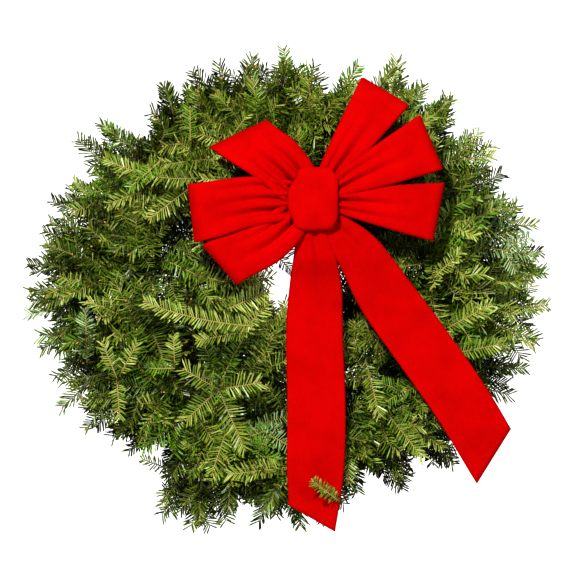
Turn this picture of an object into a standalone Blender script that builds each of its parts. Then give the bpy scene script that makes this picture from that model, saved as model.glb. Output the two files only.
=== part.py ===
"""Fresh fir wreath with a velvet bow, modelled as it hangs, with its face towards -Y.

Metres, +Z up. The origin is the point at the top of the wire ring where a hook or a nail
carries it. Fir bunches are laid on the ring in four rows, each with its stem under the
binding wire. The ribbon is folded into six loops and two tails, gathered under a knot
band and tied to the ring with a wire of its own.
"""

import math
from dataclasses import dataclass

import bpy
from mathutils import Vector

# The ring, and the bundle of stems bound to it
RING_RADIUS = 0.1524
RING_WIRE = 0.0019
RING_SEGMENTS = 48
RING_CENTRE = Vector((0.0, 0.0, -(RING_RADIUS - RING_WIRE)))
BINDING_WIRE = 0.0005
BINDING_RADIUS = 0.0090
BINDING_TURNS = 32
POINTS_PER_TURN = 7

# Fir bunches
STEM_WIRE_OFFSET = 0.0050
STEM_RADIUS = 0.0018
STEM_TAIL_DEG = 13.0
STEM_LIFT_DEG = 3.0
BUNCH_SIDES = 6
ROW_GAP = 0.0016
# Share of a bunch's length, of its half width and of its half depth: side twigs make it scalloped.
SPRAY_PROFILE = (
    (0.00, 0.30, 0.34),
    (0.12, 0.88, 0.82),
    (0.32, 1.00, 1.00),
    (0.42, 0.80, 1.00),
    (0.60, 0.98, 0.90),
    (0.70, 0.66, 0.78),
    (0.86, 0.60, 0.50),
    (1.00, 0.10, 0.12),
)

# The bow
BOW_ANGLE_DEG = 74.0
RIBBON_THICKNESS = 0.0014
KNOT_CENTRE = (0.0275, 0.122, 0.0970)
KNOT_HALF = (0.0275, 0.020, 0.0350)
KNOT_POWER = 3.0
KNOT_RINGS = 8
KNOT_SIDES = 14
PINCH_WIDTH = 0.014
LOOP_LEG_POINTS = 7
LOOP_FOLD_RADIUS = 0.0045
LOOP_FOLD_POINTS = 4
TIE_WIRE = 0.0006
TIE_RADIUS = 0.0112
TIE_LEG_SPACING = 0.0060
FOLD_GAP = 0.0030


@dataclass(frozen=True)
class Row:
    """One row of bunches. Lengths are metres outward from the ring, or forward of its plane."""

    name: str
    slot_deg: float
    reaches: tuple
    start: float
    start_forward: float
    end_forward: float
    half_width: float
    half_depth: float


@dataclass(frozen=True)
class Loop:
    """One folded loop of the ribbon, by its direction and its reach from the knot's centre."""

    name: str
    angle_deg: float
    reach: float
    width: float
    rise: float
    drop: float


# A row's bunches go anticlockwise from the bow, seen from the front. Each has its own reach, measured
# from the ring's centre, so the outline is ragged.
ROWS = (
    Row(
        "outer_bunch",
        0.0,
        (0.266, 0.258, 0.270, 0.282, 0.296, 0.290, 0.280, 0.280, 0.272, 0.266, 0.268, 0.286, 0.291, 0.282,
         0.275, 0.280),
        0.015, -0.003, -0.007, 0.050, 0.021,
    ),
    Row(
        "front_bunch",
        60.0,
        (0.236, 0.240, 0.232, 0.244, 0.252, 0.250, 0.244, 0.238, 0.232, 0.236, 0.242, 0.240),
        0.010, 0.027, 0.062, 0.050, 0.028,
    ),
    Row(
        "crown_bunch",
        120.0,
        (0.066, 0.060, 0.056, 0.052, 0.058, 0.064, 0.078, 0.082),
        -0.010, 0.027, 0.062, 0.046, 0.028,
    ),
    Row(
        "inner_bunch",
        180.0,
        (0.052, 0.046, 0.036, 0.034, 0.038, 0.048, 0.064, 0.066),
        -0.019, -0.003, -0.007, 0.046, 0.020,
    ),
)

LOOPS = (
    Loop("bow_loop_top_right", 56.0, 0.140, 0.060, 0.012, 0.010),
    Loop("bow_loop_right", 26.3, 0.140, 0.064, 0.013, 0.012),
    Loop("bow_loop_low_right", -5.2, 0.138, 0.063, 0.014, 0.014),
    Loop("bow_loop_top_left", 138.0, 0.106, 0.064, 0.016, 0.014),
    Loop("bow_loop_left", 186.0, 0.132, 0.063, 0.017, 0.010),
    Loop("bow_loop_low_left", 215.6, 0.128, 0.054, 0.008, 0.016),
)

# Points of each tail's middle line, across, forward and up from the ring's centre, with its width there.
# The slant is how much further along than the middle the right-hand corner of the cut end lies.
LEFT_TAIL = (
    ((0.0260, 0.1160, 0.0580), 0.030),
    ((0.0290, 0.1110, 0.0300), 0.044),
    ((0.0300, 0.1040, -0.0050), 0.055),
    ((0.0290, 0.0985, -0.0500), 0.060),
    ((0.0310, 0.0960, -0.1280), 0.063),
    ((0.0300, 0.0930, -0.1960), 0.062),
    ((0.0260, 0.0900, -0.2530), 0.052),
)
LEFT_TAIL_SLANT = 0.0125
RIGHT_TAIL = (
    ((0.0600, 0.1150, 0.0640), 0.026),
    ((0.0810, 0.1110, 0.0350), 0.048),
    ((0.1080, 0.1040, -0.0120), 0.062),
    ((0.1430, 0.0985, -0.0600), 0.063),
    ((0.1880, 0.0960, -0.1240), 0.063),
    ((0.2250, 0.0900, -0.1850), 0.062),
)
RIGHT_TAIL_SLANT = -0.016


def clear_scene():
    """Removes every object that the file opened with."""
    for item in list(bpy.data.objects):
        bpy.data.objects.remove(item, do_unlink=True)


def finish(name, colour, roughness, metallic=0.0):
    """A Principled material of one colour."""
    made = bpy.data.materials.new(name)
    made.use_nodes = True
    shader = made.node_tree.nodes["Principled BSDF"]
    shader.inputs["Base Color"].default_value = (*colour, 1.0)
    shader.inputs["Roughness"].default_value = roughness
    shader.inputs["Metallic"].default_value = metallic
    return made


def at(across, forward, up):
    """A place given from the ring's centre: to the right, towards the viewer and up."""
    return RING_CENTRE + Vector((across, -forward, up))


def ring_place(angle, outward, forward):
    """A place beside the ring wire at an angle round the ring, outward from it and forward of it."""
    radius = RING_RADIUS + outward
    return at(radius * math.cos(angle), forward, radius * math.sin(angle))


def lofted(name, rings, material):
    """A closed body skinned over rings of the same number of points, with a cap on each end."""
    sides = len(rings[0])
    points = [point for ring in rings for point in ring]
    faces = [tuple(range(sides))]
    for row in range(len(rings) - 1):
        for side in range(sides):
            after = (side + 1) % sides
            low = row * sides
            faces.append((low + side, low + sides + side, low + sides + after, low + after))
    last = (len(rings) - 1) * sides
    faces.append(tuple(last + side for side in reversed(range(sides))))
    mesh = bpy.data.meshes.new(name)
    mesh.from_pydata(points, [], faces)
    if enclosed_volume(mesh) < 0:
        mesh.flip_normals()
    mesh.shade_smooth()
    mesh.set_sharp_from_angle(angle=math.radians(50))
    mesh.materials.append(material)
    made = bpy.data.objects.new(name, mesh)
    bpy.context.scene.collection.objects.link(made)
    return made


def enclosed_volume(mesh):
    """Six times the volume that the faces enclose, negative when they point inwards."""
    mesh.calc_loop_triangles()
    corners = [vertex.co for vertex in mesh.vertices]
    total = 0.0
    for triangle in mesh.loop_triangles:
        a, b, c = (corners[index] for index in triangle.vertices)
        total += a.dot(b.cross(c))
    return total


def wire(name, places, radius, resolution, material, closed=False):
    """A wire along its places, as a bevelled curve."""
    curve = bpy.data.curves.new(name, "CURVE")
    curve.dimensions = "3D"
    curve.bevel_depth = radius
    curve.bevel_resolution = resolution
    curve.use_fill_caps = True
    spline = curve.splines.new("POLY")
    spline.points.add(len(places) - 1)
    for point, place in zip(spline.points, places):
        point.co = (*place, 1.0)
    spline.use_cyclic_u = closed
    curve.materials.append(material)
    made = bpy.data.objects.new(name, curve)
    bpy.context.scene.collection.objects.link(made)
    return made


def wire_ring(material):
    """The round steel ring that carries everything."""
    step = math.tau / RING_SEGMENTS
    places = [ring_place(step * index, 0.0, 0.0) for index in range(RING_SEGMENTS)]
    return wire("wire_ring", places, RING_WIRE, 1, material, closed=True)


def binding_wire(material):
    """One length of thin wire wound round the ring and all the stems."""
    count = BINDING_TURNS * POINTS_PER_TURN
    places = []
    for index in range(count):
        along = math.tau * index / count
        around = math.tau * index / POINTS_PER_TURN
        outward = BINDING_RADIUS * math.cos(around)
        places.append(ring_place(along, outward, BINDING_RADIUS * math.sin(around)))
    return wire("binding_wire", places, BINDING_WIRE, 0, material)


def between_turns(angle, slot):
    """The place nearest an angle where a stem leaves the bundle midway between two turns of wire."""
    pitch = math.tau / BINDING_TURNS
    first = pitch * (slot / math.tau + 0.5)
    return first + pitch * round((angle - first) / pitch)


def bunch(row, index, material):
    """One bunch: a stem under the wire, which lifts between two turns and opens into a flat spray."""
    count = len(row.reaches)
    slot = math.radians(row.slot_deg)
    middle = math.radians(BOW_ANGLE_DEG) + math.tau * (index + 0.5) / count
    leave = between_turns(middle, slot)
    outward, forward = math.cos(slot), math.sin(slot)
    spine = []
    for share in (1.0, 0.5, 0.0):
        angle = leave - math.radians(STEM_LIFT_DEG + STEM_TAIL_DEG * share)
        beside, before = STEM_WIRE_OFFSET * outward, STEM_WIRE_OFFSET * forward
        spine.append((angle, beside, before, STEM_RADIUS, STEM_RADIUS))
    lifted = BINDING_RADIUS + 2 * STEM_RADIUS
    spine.append((leave, lifted * outward, lifted * forward, STEM_RADIUS, STEM_RADIUS))
    end = row.reaches[index] - RING_RADIUS
    room = math.sin(math.pi / count)
    for share, width, depth in SPRAY_PROFILE:
        out = row.start + (end - row.start) * share
        ahead = row.start_forward + (row.end_forward - row.start_forward) * math.sin(share * math.pi / 2)
        fits = (RING_RADIUS + out) * room - ROW_GAP
        spine.append((middle, out, ahead, min(row.half_width, fits) * width, row.half_depth * depth))
    return lofted(f"{row.name}_{index + 1:02d}", bunch_rings(spine), material)


def bunch_rings(spine):
    """Flat six-sided rings along a spine of angle, outward, forward, half width and half depth."""
    places = [ring_place(angle, out, ahead) for angle, out, ahead, _, _ in spine]
    rings = []
    for index, (_, _, _, width, depth) in enumerate(spine):
        before, after = places[max(index - 1, 0)], places[min(index + 1, len(places) - 1)]
        along = (after - before).normalized()
        side = along.cross(Vector((0.0, 1.0, 0.0))).normalized()
        lift = side.cross(along).normalized()
        ring = []
        for corner in range(BUNCH_SIDES):
            turn = math.tau * corner / BUNCH_SIDES
            ring.append(places[index] + side * (width * math.cos(turn)) + lift * (depth * math.sin(turn)))
        rings.append(ring)
    return rings


def knot_edge(angle):
    """How far the knot reaches from its centre in a direction in its own plane."""
    across, up = abs(math.cos(angle)) / KNOT_HALF[0], abs(math.sin(angle)) / KNOT_HALF[2]
    return (across**KNOT_POWER + up**KNOT_POWER) ** (-1.0 / KNOT_POWER)


def bow_knot(material):
    """The band round the middle of the bow, full in front and square at its sides."""
    rings = []
    for index in range(KNOT_RINGS + 1):
        across = math.cos(math.pi * index / KNOT_RINGS)
        size = max(1.0 - abs(across) ** KNOT_POWER, 0.04) ** (1.0 / KNOT_POWER)
        ring = []
        for side in range(KNOT_SIDES):
            turn = math.tau * side / KNOT_SIDES
            ring.append(at(
                KNOT_CENTRE[0] + KNOT_HALF[0] * across,
                KNOT_CENTRE[1] + KNOT_HALF[1] * size * math.cos(turn),
                KNOT_CENTRE[2] + KNOT_HALF[2] * size * math.sin(turn),
            ))
        rings.append(ring)
    return lofted("bow_knot", rings, material)


def ribbon(name, middles, fronts, sides, widths, material):
    """A strip of ribbon with thickness, from its middle line, its face and side directions and its widths."""
    rings = []
    for middle, front, side, width in zip(middles, fronts, sides, widths):
        across = side * (width / 2)
        thick = front * (RIBBON_THICKNESS / 2)
        left, right = middle - across, middle + across
        rings.append([left - thick, right - thick, right + thick, left + thick])
    return lofted(name, rings, material)


def bow_loop(loop, material):
    """A loop: out from the knot on its front leg, round a tight fold and back on its rear leg."""
    angle = math.radians(loop.angle_deg)
    start = knot_edge(angle) + FOLD_GAP
    straight = loop.reach - LOOP_FOLD_RADIUS
    steps = []
    for index in range(LOOP_LEG_POINTS):
        share = index / LOOP_LEG_POINTS
        bulge = math.sin(math.pi * share) ** 0.8
        steps.append((start + (straight - start) * share, LOOP_FOLD_RADIUS + loop.rise * bulge))
    for index in range(LOOP_FOLD_POINTS + 1):
        turn = math.pi * (0.5 - index / LOOP_FOLD_POINTS)
        steps.append((straight + LOOP_FOLD_RADIUS * math.cos(turn), LOOP_FOLD_RADIUS * math.sin(turn)))
    for index in reversed(range(LOOP_LEG_POINTS)):
        share = index / LOOP_LEG_POINTS
        bulge = math.sin(math.pi * share) ** 0.8
        steps.append((start + (straight - start) * share, -LOOP_FOLD_RADIUS - loop.drop * bulge))
    outward = Vector((math.cos(angle), 0.0, math.sin(angle)))
    towards = Vector((0.0, -1.0, 0.0))
    side = outward.cross(towards)
    knot = at(*KNOT_CENTRE)
    middles = [knot + outward * out + towards * ahead for out, ahead in steps]
    fronts = []
    for index in range(len(middles)):
        before, after = middles[max(index - 1, 0)], middles[min(index + 1, len(middles) - 1)]
        fronts.append(side.cross((after - before).normalized()))
    widths = []
    for out, _ in steps:
        share = (out - start) / (loop.reach - start)
        widths.append(PINCH_WIDTH + (loop.width - PINCH_WIDTH) * share)
    return ribbon(loop.name, middles, fronts, [side] * len(middles), widths, material)


def bow_tail(name, line, slant, material):
    """A hanging tail, which lies over the fir and ends in a slanting cut."""
    middles = [at(*place) for place, _ in line]
    fronts, sides = [], []
    for index in range(len(middles)):
        before, after = middles[max(index - 1, 0)], middles[min(index + 1, len(middles) - 1)]
        along = (after - before).normalized()
        side = along.cross(Vector((0.0, 1.0, 0.0))).normalized()
        sides.append(side)
        fronts.append(side.cross(along))
    cut = (middles[-1] - middles[-2]).normalized() * slant * 2 / line[-1][1]
    sides[-1] = sides[-1] + cut
    return ribbon(name, middles, fronts, sides, [width for _, width in line], material)


def bow_tie_wire(material):
    """The wire from behind the knot, round the ring and its stems, and back to the knot."""
    angle = math.radians(BOW_ANGLE_DEG)
    knot_out = math.hypot(KNOT_CENTRE[0], KNOT_CENTRE[2]) - RING_RADIUS
    knot_ahead = KNOT_CENTRE[1] - KNOT_HALF[1] - TIE_WIRE - FOLD_GAP
    lean = math.atan2(knot_ahead, knot_out)
    places = [ring_place(angle, knot_out + TIE_LEG_SPACING / 2, knot_ahead)]
    turns = 12
    for index in range(turns + 1):
        turn = lean - math.pi / 2 - math.pi * index / turns
        places.append(ring_place(angle, TIE_RADIUS * math.cos(turn), TIE_RADIUS * math.sin(turn)))
    places.append(ring_place(angle, knot_out - TIE_LEG_SPACING / 2, knot_ahead))
    return wire("bow_tie_wire", places, TIE_WIRE, 0, material)


def build():
    """Makes every piece of the wreath."""
    clear_scene()
    fir = finish("fir_needles", (0.075, 0.155, 0.030), 0.60)
    steel = finish("ring_steel", (0.030, 0.075, 0.035), 0.45, 0.6)
    florist = finish("binding_steel", (0.040, 0.100, 0.045), 0.40, 0.7)
    velvet = finish("red_velvet", (0.800, 0.004, 0.004), 0.85)
    wire_ring(steel)
    binding_wire(florist)
    for row in ROWS:
        for index in range(len(row.reaches)):
            bunch(row, index, fir)
    bow_knot(velvet)
    for loop in LOOPS:
        bow_loop(loop, velvet)
    bow_tail("bow_tail_left", LEFT_TAIL, LEFT_TAIL_SLANT, velvet)
    bow_tail("bow_tail_right", RIGHT_TAIL, RIGHT_TAIL_SLANT, velvet)
    bow_tie_wire(florist)


build()
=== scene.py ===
"""Looks of the fresh fir wreath: sprays of needles, the red velvet bow and the wires that hold them."""

import logging
import math
import random
from dataclasses import dataclass, field
from enum import Enum
from typing import Any

import bpy
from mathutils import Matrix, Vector


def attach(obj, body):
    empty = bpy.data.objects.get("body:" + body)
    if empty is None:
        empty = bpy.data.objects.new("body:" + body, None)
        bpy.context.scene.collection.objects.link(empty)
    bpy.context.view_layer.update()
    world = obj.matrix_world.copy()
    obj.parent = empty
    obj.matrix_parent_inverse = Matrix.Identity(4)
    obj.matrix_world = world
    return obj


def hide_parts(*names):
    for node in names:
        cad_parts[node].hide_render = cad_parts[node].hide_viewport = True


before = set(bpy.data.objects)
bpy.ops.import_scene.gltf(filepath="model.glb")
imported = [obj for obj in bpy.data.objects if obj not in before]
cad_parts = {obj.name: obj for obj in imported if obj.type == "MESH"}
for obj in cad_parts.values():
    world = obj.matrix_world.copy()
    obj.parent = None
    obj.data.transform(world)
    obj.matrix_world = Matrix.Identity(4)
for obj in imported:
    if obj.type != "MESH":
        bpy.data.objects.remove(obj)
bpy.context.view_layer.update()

LOG = logging.getLogger("wreath")
BODY = "root"

RING_RADIUS = 0.1524
RING_MIDDLE_UP = -0.1505

# The needles' and twigs' UV map: which palette cell across, which part of the growth upwards.
UV_NAME = "OFBake"
PALETTE_CELLS = 32
NEEDLE_TOP_V = (0.02, 0.38)
NEEDLE_UNDER_V = (0.42, 0.78)
TWIG_V = (0.82, 0.90)
BUD_V = (0.92, 0.98)
NEEDLE_UNDER_FROM_V = 0.40
BARK_FROM_V = 0.80
BUD_FROM_V = 0.915
# Palette places above this are the fresh bright greens and the silvery ones.
OLIVE_END = 0.82
DARKEST, LIGHTEST = 0.0, 0.80

Colour = tuple[float, float, float]
Range = tuple[float, float]
# Place across as a share of the half width, depth in metres, and breadth as a share.
Crease = tuple[float, float, float]


class Slot(Enum):
    """Names for the material slots of the pieces that are made here; nothing in the script reads them."""

    FIR = "fir"
    VELVET = "red_velvet"


class Row(Enum):
    """The four rows of bunches round the ring."""

    OUTER = "outer"
    FRONT = "front"
    CROWN = "crown"
    INNER = "inner"


def at(across: float, forward: float, up: float) -> Vector:
    """Place of a point given from the ring's centre.

    Args:
        across: metres to the right, seen from the front.
        forward: metres towards the viewer.
        up: metres above the ring's centre.

    Returns:
        The point in the wreath's own frame.
    """
    return Vector((across, -forward, RING_MIDDLE_UP + up))


def around(degrees: float, radius: float, forward: float) -> Vector:
    """Place of a point at an angle from the right, anticlockwise, and a distance from the ring's centre."""
    turn = math.radians(degrees)
    return at(radius * math.cos(turn), forward, radius * math.sin(turn))


def smooth(share: float) -> float:
    """Eased step from 0 to 1."""
    share = min(1.0, max(0.0, share))
    return share * share * (3.0 - 2.0 * share)


def arched(start: Vector, tip: Vector, lift: Vector, step: float) -> list[Vector]:
    """Points along an arch from start to tip.

    Args:
        start: first point.
        tip: last point.
        lift: how far the arch's middle control point stands off the straight line.
        step: about how far apart the points are.

    Returns:
        At least four points.
    """
    middle = (start + tip) / 2 + lift
    count = max(3, round((tip - start).length / step))
    shares = [index / count for index in range(count + 1)]
    return [start.lerp(middle, t).lerp(middle.lerp(tip, t), t) for t in shares]


def through(points: list[Vector], per_span: int) -> list[Vector]:
    """Smooth curve through every point.

    Args:
        points: the places it passes.
        per_span: how many steps each span is cut into.

    Returns:
        The curve's points, ends included.
    """
    padded = [2 * points[0] - points[1], *points, 2 * points[-1] - points[-2]]
    curve = []
    for p0, p1, p2, p3 in zip(padded, padded[1:], padded[2:], padded[3:]):
        for step in range(per_span):
            t = step / per_span
            square = (2 * p0 - 5 * p1 + 4 * p2 - p3) * t * t
            cube = (3 * p1 - p0 - 3 * p2 + p3) * t * t * t
            curve.append(0.5 * (2 * p1 + (p2 - p0) * t + square + cube))
    return [*curve, points[-1].copy()]


def lengths_along(points: list[Vector]) -> list[float]:
    """Measures along a line.

    Args:
        points: the line's points.

    Returns:
        Distance of each point from the first.
    """
    run = [0.0]
    for here, there in zip(points, points[1:]):
        run.append(run[-1] + (there - here).length)
    return run


def directions(points: list[Vector]) -> list[Vector]:
    """Unit direction of the line at each of its points."""
    last = len(points) - 1
    return [(points[min(i + 1, last)] - points[max(i - 1, 0)]).normalized() for i in range(last + 1)]


def hash_share(seed: int, number: int) -> float:
    """Even spread of shares from 0 to 1 that depends only on the two numbers."""
    return (math.sin(seed * 12.9898 + number * 78.233) * 43758.5453) % 1.0


def mesh_object(name: str, points: list[Vector], faces: list[tuple[int, ...]]) -> bpy.types.Object:
    """Object at the origin that holds the given mesh.

    Args:
        name: the object's and mesh's name.
        points: vertex places.
        faces: vertex numbers of each face.

    Returns:
        The new object, linked to the scene.
    """
    mesh = bpy.data.meshes.new(name)
    mesh.from_pydata(points, [], faces)
    made = bpy.data.objects.new(name, mesh)
    bpy.context.scene.collection.objects.link(made)
    return made


def settled(source: bpy.types.Object, name: str) -> bpy.types.Object:
    """Plain mesh of an object's evaluated shape, which takes the object's place.

    Args:
        source: object with live modifiers.
        name: name of the plain object.

    Returns:
        The object without modifiers.
    """
    graph = bpy.context.evaluated_depsgraph_get()
    mesh = bpy.data.meshes.new_from_object(source.evaluated_get(graph))
    bpy.data.objects.remove(source)
    mesh.name = name
    made = bpy.data.objects.new(name, mesh)
    bpy.context.scene.collection.objects.link(made)
    return made


class NodeBoard:
    """Adds nodes to a tree and joins each one's inputs in the same call."""

    def __init__(self, tree: bpy.types.NodeTree) -> None:
        """Keeps the tree that the nodes go to."""
        self.tree = tree

    def add(self, kind: str, inputs: dict[int | str, Any] | None = None, **settings: Any) -> bpy.types.Node:
        """Adds one node.

        Args:
            kind: the node's type name.
            inputs: values or output sockets, by the input's number or name.
            **settings: the node's own properties.

        Returns:
            The node.
        """
        node = self.tree.nodes.new(kind)
        for key, value in settings.items():
            setattr(node, key, value)
        for key, value in (inputs or {}).items():
            if isinstance(value, bpy.types.NodeSocket):
                self.tree.links.new(value, node.inputs[key])
            else:
                node.inputs[key].default_value = value
        return node

    def sum(self, operation: str, *terms: Any) -> bpy.types.NodeSocket:
        """Result of a Math node on up to three terms."""
        return self.add("ShaderNodeMath", dict(enumerate(terms)), operation=operation).outputs[0]

    def vector(self, operation: str, *terms: Any) -> bpy.types.NodeSocket:
        """Vector result of a Vector Math node on two terms."""
        return self.add("ShaderNodeVectorMath", dict(enumerate(terms)), operation=operation).outputs[0]

    def scaled(self, vector: Any, factor: Any) -> bpy.types.NodeSocket:
        """A vector multiplied by a number."""
        return self.add("ShaderNodeVectorMath", {0: vector, "Scale": factor}, operation="SCALE").outputs[0]

    def mix(self, share: Any, first: Any, second: Any, blend: str = "MIX") -> bpy.types.NodeSocket:
        """Colour between two others."""
        node = self.add("ShaderNodeMix", {0: share, 6: first, 7: second}, data_type="RGBA", blend_type=blend)
        return node.outputs[2]

    def ramp(self, share: Any, stops: tuple[tuple[float, Colour], ...]) -> bpy.types.NodeSocket:
        """Reads a colour from a ramp.

        Args:
            share: place on the ramp.
            stops: (place, colour) of each stop.

        Returns:
            The colour.
        """
        node = self.add("ShaderNodeValToRGB", {0: share})
        band = node.color_ramp
        while len(band.elements) < len(stops):
            band.elements.new(0.5)
        for element, (place, colour) in zip(band.elements, stops):
            element.position = place
            element.color = (*colour, 1.0)
        return node.outputs[0]

    def band(self, value: Any, low: float, high: float) -> bpy.types.NodeSocket:
        """Smooth 0 to 1 as the value goes from low to high."""
        inputs = {0: value, 1: low, 2: high, 3: 0.0, 4: 1.0}
        return self.add("ShaderNodeMapRange", inputs, interpolation_type="SMOOTHSTEP").outputs[0]

    def triple(self, across: Any, up: Any, deep: Any = 0.0) -> bpy.types.NodeSocket:
        """Vector of three numbers."""
        return self.add("ShaderNodeCombineXYZ", {0: across, 1: up, 2: deep}).outputs[0]

    def noise(self, place: Any, scale: float, detail: float) -> bpy.types.NodeSocket:
        """Even noise at a place."""
        inputs = {"Vector": place, "Scale": scale, "Detail": detail}
        return self.add("ShaderNodeTexNoise", inputs).outputs[0]


class FinishBoard(NodeBoard):
    """Board on a new material's tree, which ends in one shader."""

    def __init__(self, name: str, roughness: float) -> None:
        """Starts the material.

        Args:
            name: the material's name.
            roughness: how matt it is.
        """
        self.material = bpy.data.materials.new(name)
        self.material.use_nodes = True
        super().__init__(self.material.node_tree)
        self.shader = self.tree.nodes["Principled BSDF"]
        self.set("Roughness", roughness)

    def set(self, name: str, value: Any) -> None:
        """Gives one of the shader's inputs a value, or joins it to a socket.

        Args:
            name: the input's name.
            value: a constant or an output socket.
        """
        if isinstance(value, bpy.types.NodeSocket):
            self.tree.links.new(value, self.shader.inputs[name])
        else:
            self.shader.inputs[name].default_value = value

    def grain(self, colour: Any, noise: Any, spread: float, least: float) -> bpy.types.NodeSocket:
        """Colour made lighter and darker by a noise."""
        shade = self.sum("MULTIPLY_ADD", noise, spread, least)
        return self.mix(1.0, colour, self.triple(shade, shade, shade), "MULTIPLY")

    def bump(self, height: Any, strength: float, distance: float, invert: bool = False) -> None:
        """Raises the surface where the height is great."""
        inputs = {"Strength": strength, "Distance": distance, "Height": height}
        self.set("Normal", self.add("ShaderNodeBump", inputs, invert=invert).outputs[0])


@dataclass(frozen=True)
class NeedleFinish:
    """Waxy fir needles: green above with a pale midrib groove, silvery below."""

    greens: tuple[tuple[float, Colour], ...] = (
        # The ramp's near-black end serves mostly as painted shade for growth deep behind; the olive ramp ends
        # at 0.80, and above it come the fresh greens and the silvery ones.
        (0.00, (0.005, 0.008, 0.001)),
        (0.16, (0.018, 0.032, 0.002)),
        (0.32, (0.061, 0.092, 0.006)),
        (0.48, (0.125, 0.184, 0.016)),
        (0.64, (0.226, 0.298, 0.042)),
        (0.80, (0.420, 0.462, 0.125)),
        (0.84, (0.080, 0.190, 0.010)),
        (0.90, (0.150, 0.330, 0.020)),
        (0.94, (0.120, 0.210, 0.060)),
        (1.00, (0.340, 0.440, 0.220)),
    )
    rib_green: Colour = (0.40, 0.47, 0.07)
    rib_strength: float = 0.22
    silver: Colour = (0.17, 0.27, 0.09)
    silver_strength: float = 0.50
    base_tan: Colour = (0.30, 0.30, 0.09)
    tan_strength: float = 0.6
    hue_spread: float = 0.05
    least_hue: float = 0.475
    value_spread: float = 0.30
    least_value: float = 0.85
    mottle_scale: float = 90.0
    roughness: float = 0.33

    def make(self) -> bpy.types.Material:
        """Builds the material, which reads only the needles' own UV map.

        Returns:
            The material.
        """
        board = FinishBoard("fir_needles", self.roughness)
        place = board.add("ShaderNodeUVMap", uv_map=UV_NAME).outputs[0]
        across, along, _ = board.add("ShaderNodeSeparateXYZ", {0: place}).outputs
        cells = board.sum("MULTIPLY", across, float(PALETTE_CELLS))
        cell = board.sum("FLOOR", cells)
        within = board.sum("FRACT", cells)
        green = board.ramp(board.sum("DIVIDE", cell, float(PALETTE_CELLS - 1)), self.greens)
        chance = board.add("ShaderNodeTexWhiteNoise", {"W": cell}, noise_dimensions="1D").outputs[0]
        hue = board.sum("MULTIPLY_ADD", chance, self.hue_spread, self.least_hue)
        value = board.sum("MULTIPLY_ADD", chance, self.value_spread, self.least_value)
        green = board.add("ShaderNodeHueSaturation", {"Hue": hue, "Value": value, "Color": green}).outputs[0]

        off_middle = board.sum("ABSOLUTE", board.sum("SUBTRACT", within, 0.5))
        rib = board.sum("SUBTRACT", 1.0, board.band(off_middle, 0.03, 0.13))
        lighter = board.mix(self.rib_strength, green, (*self.rib_green, 1.0))
        top = board.mix(rib, green, lighter)
        stripe = board.sum("SUBTRACT", 1.0, board.band(off_middle, 0.10, 0.38))
        silvered = board.sum("MULTIPLY", stripe, self.silver_strength)
        below = board.sum("GREATER_THAN", along, NEEDLE_UNDER_FROM_V)
        colour = board.mix(below, top, board.mix(silvered, green, (*self.silver, 1.0)))

        base_top = board.sum("SUBTRACT", 1.0, board.band(along, NEEDLE_TOP_V[0], 0.09))
        base_under = board.sum("SUBTRACT", 1.0, board.band(along, NEEDLE_UNDER_V[0], 0.49))
        base = board.sum("MAXIMUM", base_top, board.sum("MULTIPLY", below, base_under))
        base = board.sum("MULTIPLY", base, self.tan_strength)
        colour = board.mix(base, colour, (*self.base_tan, 1.0))
        mottle = board.noise(place, self.mottle_scale, 2.0)
        board.set("Base Color", board.grain(colour, mottle, 0.5, 0.75))
        board.bump(rib, 0.35, 0.0002, invert=True)
        board.set("Specular IOR Level", 0.5)
        return board.material


@dataclass(frozen=True)
class BarkFinish:
    """Tan young bark, browner towards the base, and orange-brown resin buds."""

    old_bark: Colour = (0.070, 0.044, 0.018)
    young_bark: Colour = (0.16, 0.15, 0.035)
    fresh_bark: Colour = (0.38, 0.30, 0.085)
    bud: Colour = (0.30, 0.160, 0.040)
    bud_tip: Colour = (0.46, 0.340, 0.130)
    grain_scale: float = 260.0
    roughness: float = 0.6

    def make(self) -> bpy.types.Material:
        """Builds the material, which reads only the twigs' own UV map.

        Returns:
            The material.
        """
        board = FinishBoard("fir_bark", self.roughness)
        place = board.add("ShaderNodeUVMap", uv_map=UV_NAME).outputs[0]
        across, along, _ = board.add("ShaderNodeSeparateXYZ", {0: place}).outputs
        # The bark is lighter where its twig's palette place is light, so it carries the growth's painted
        # shade as well as its tone.
        light = board.band(across, 0.25, 0.70)
        old = board.mix(light, (*self.old_bark, 1.0), (*self.fresh_bark, 1.0))
        young = board.mix(light, (*self.young_bark, 1.0), (*self.fresh_bark, 1.0))
        bark = board.mix(board.band(along, *TWIG_V), old, young)
        bud = board.mix(board.band(along, 0.94, 0.975), (*self.bud, 1.0), (*self.bud_tip, 1.0))
        colour = board.mix(board.sum("GREATER_THAN", along, BUD_FROM_V), bark, bud)
        grain = board.noise(place, self.grain_scale, 3.0)
        board.set("Base Color", board.grain(colour, grain, 0.8, 0.6))
        board.bump(grain, 0.5, 0.0003)
        return board.material


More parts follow.
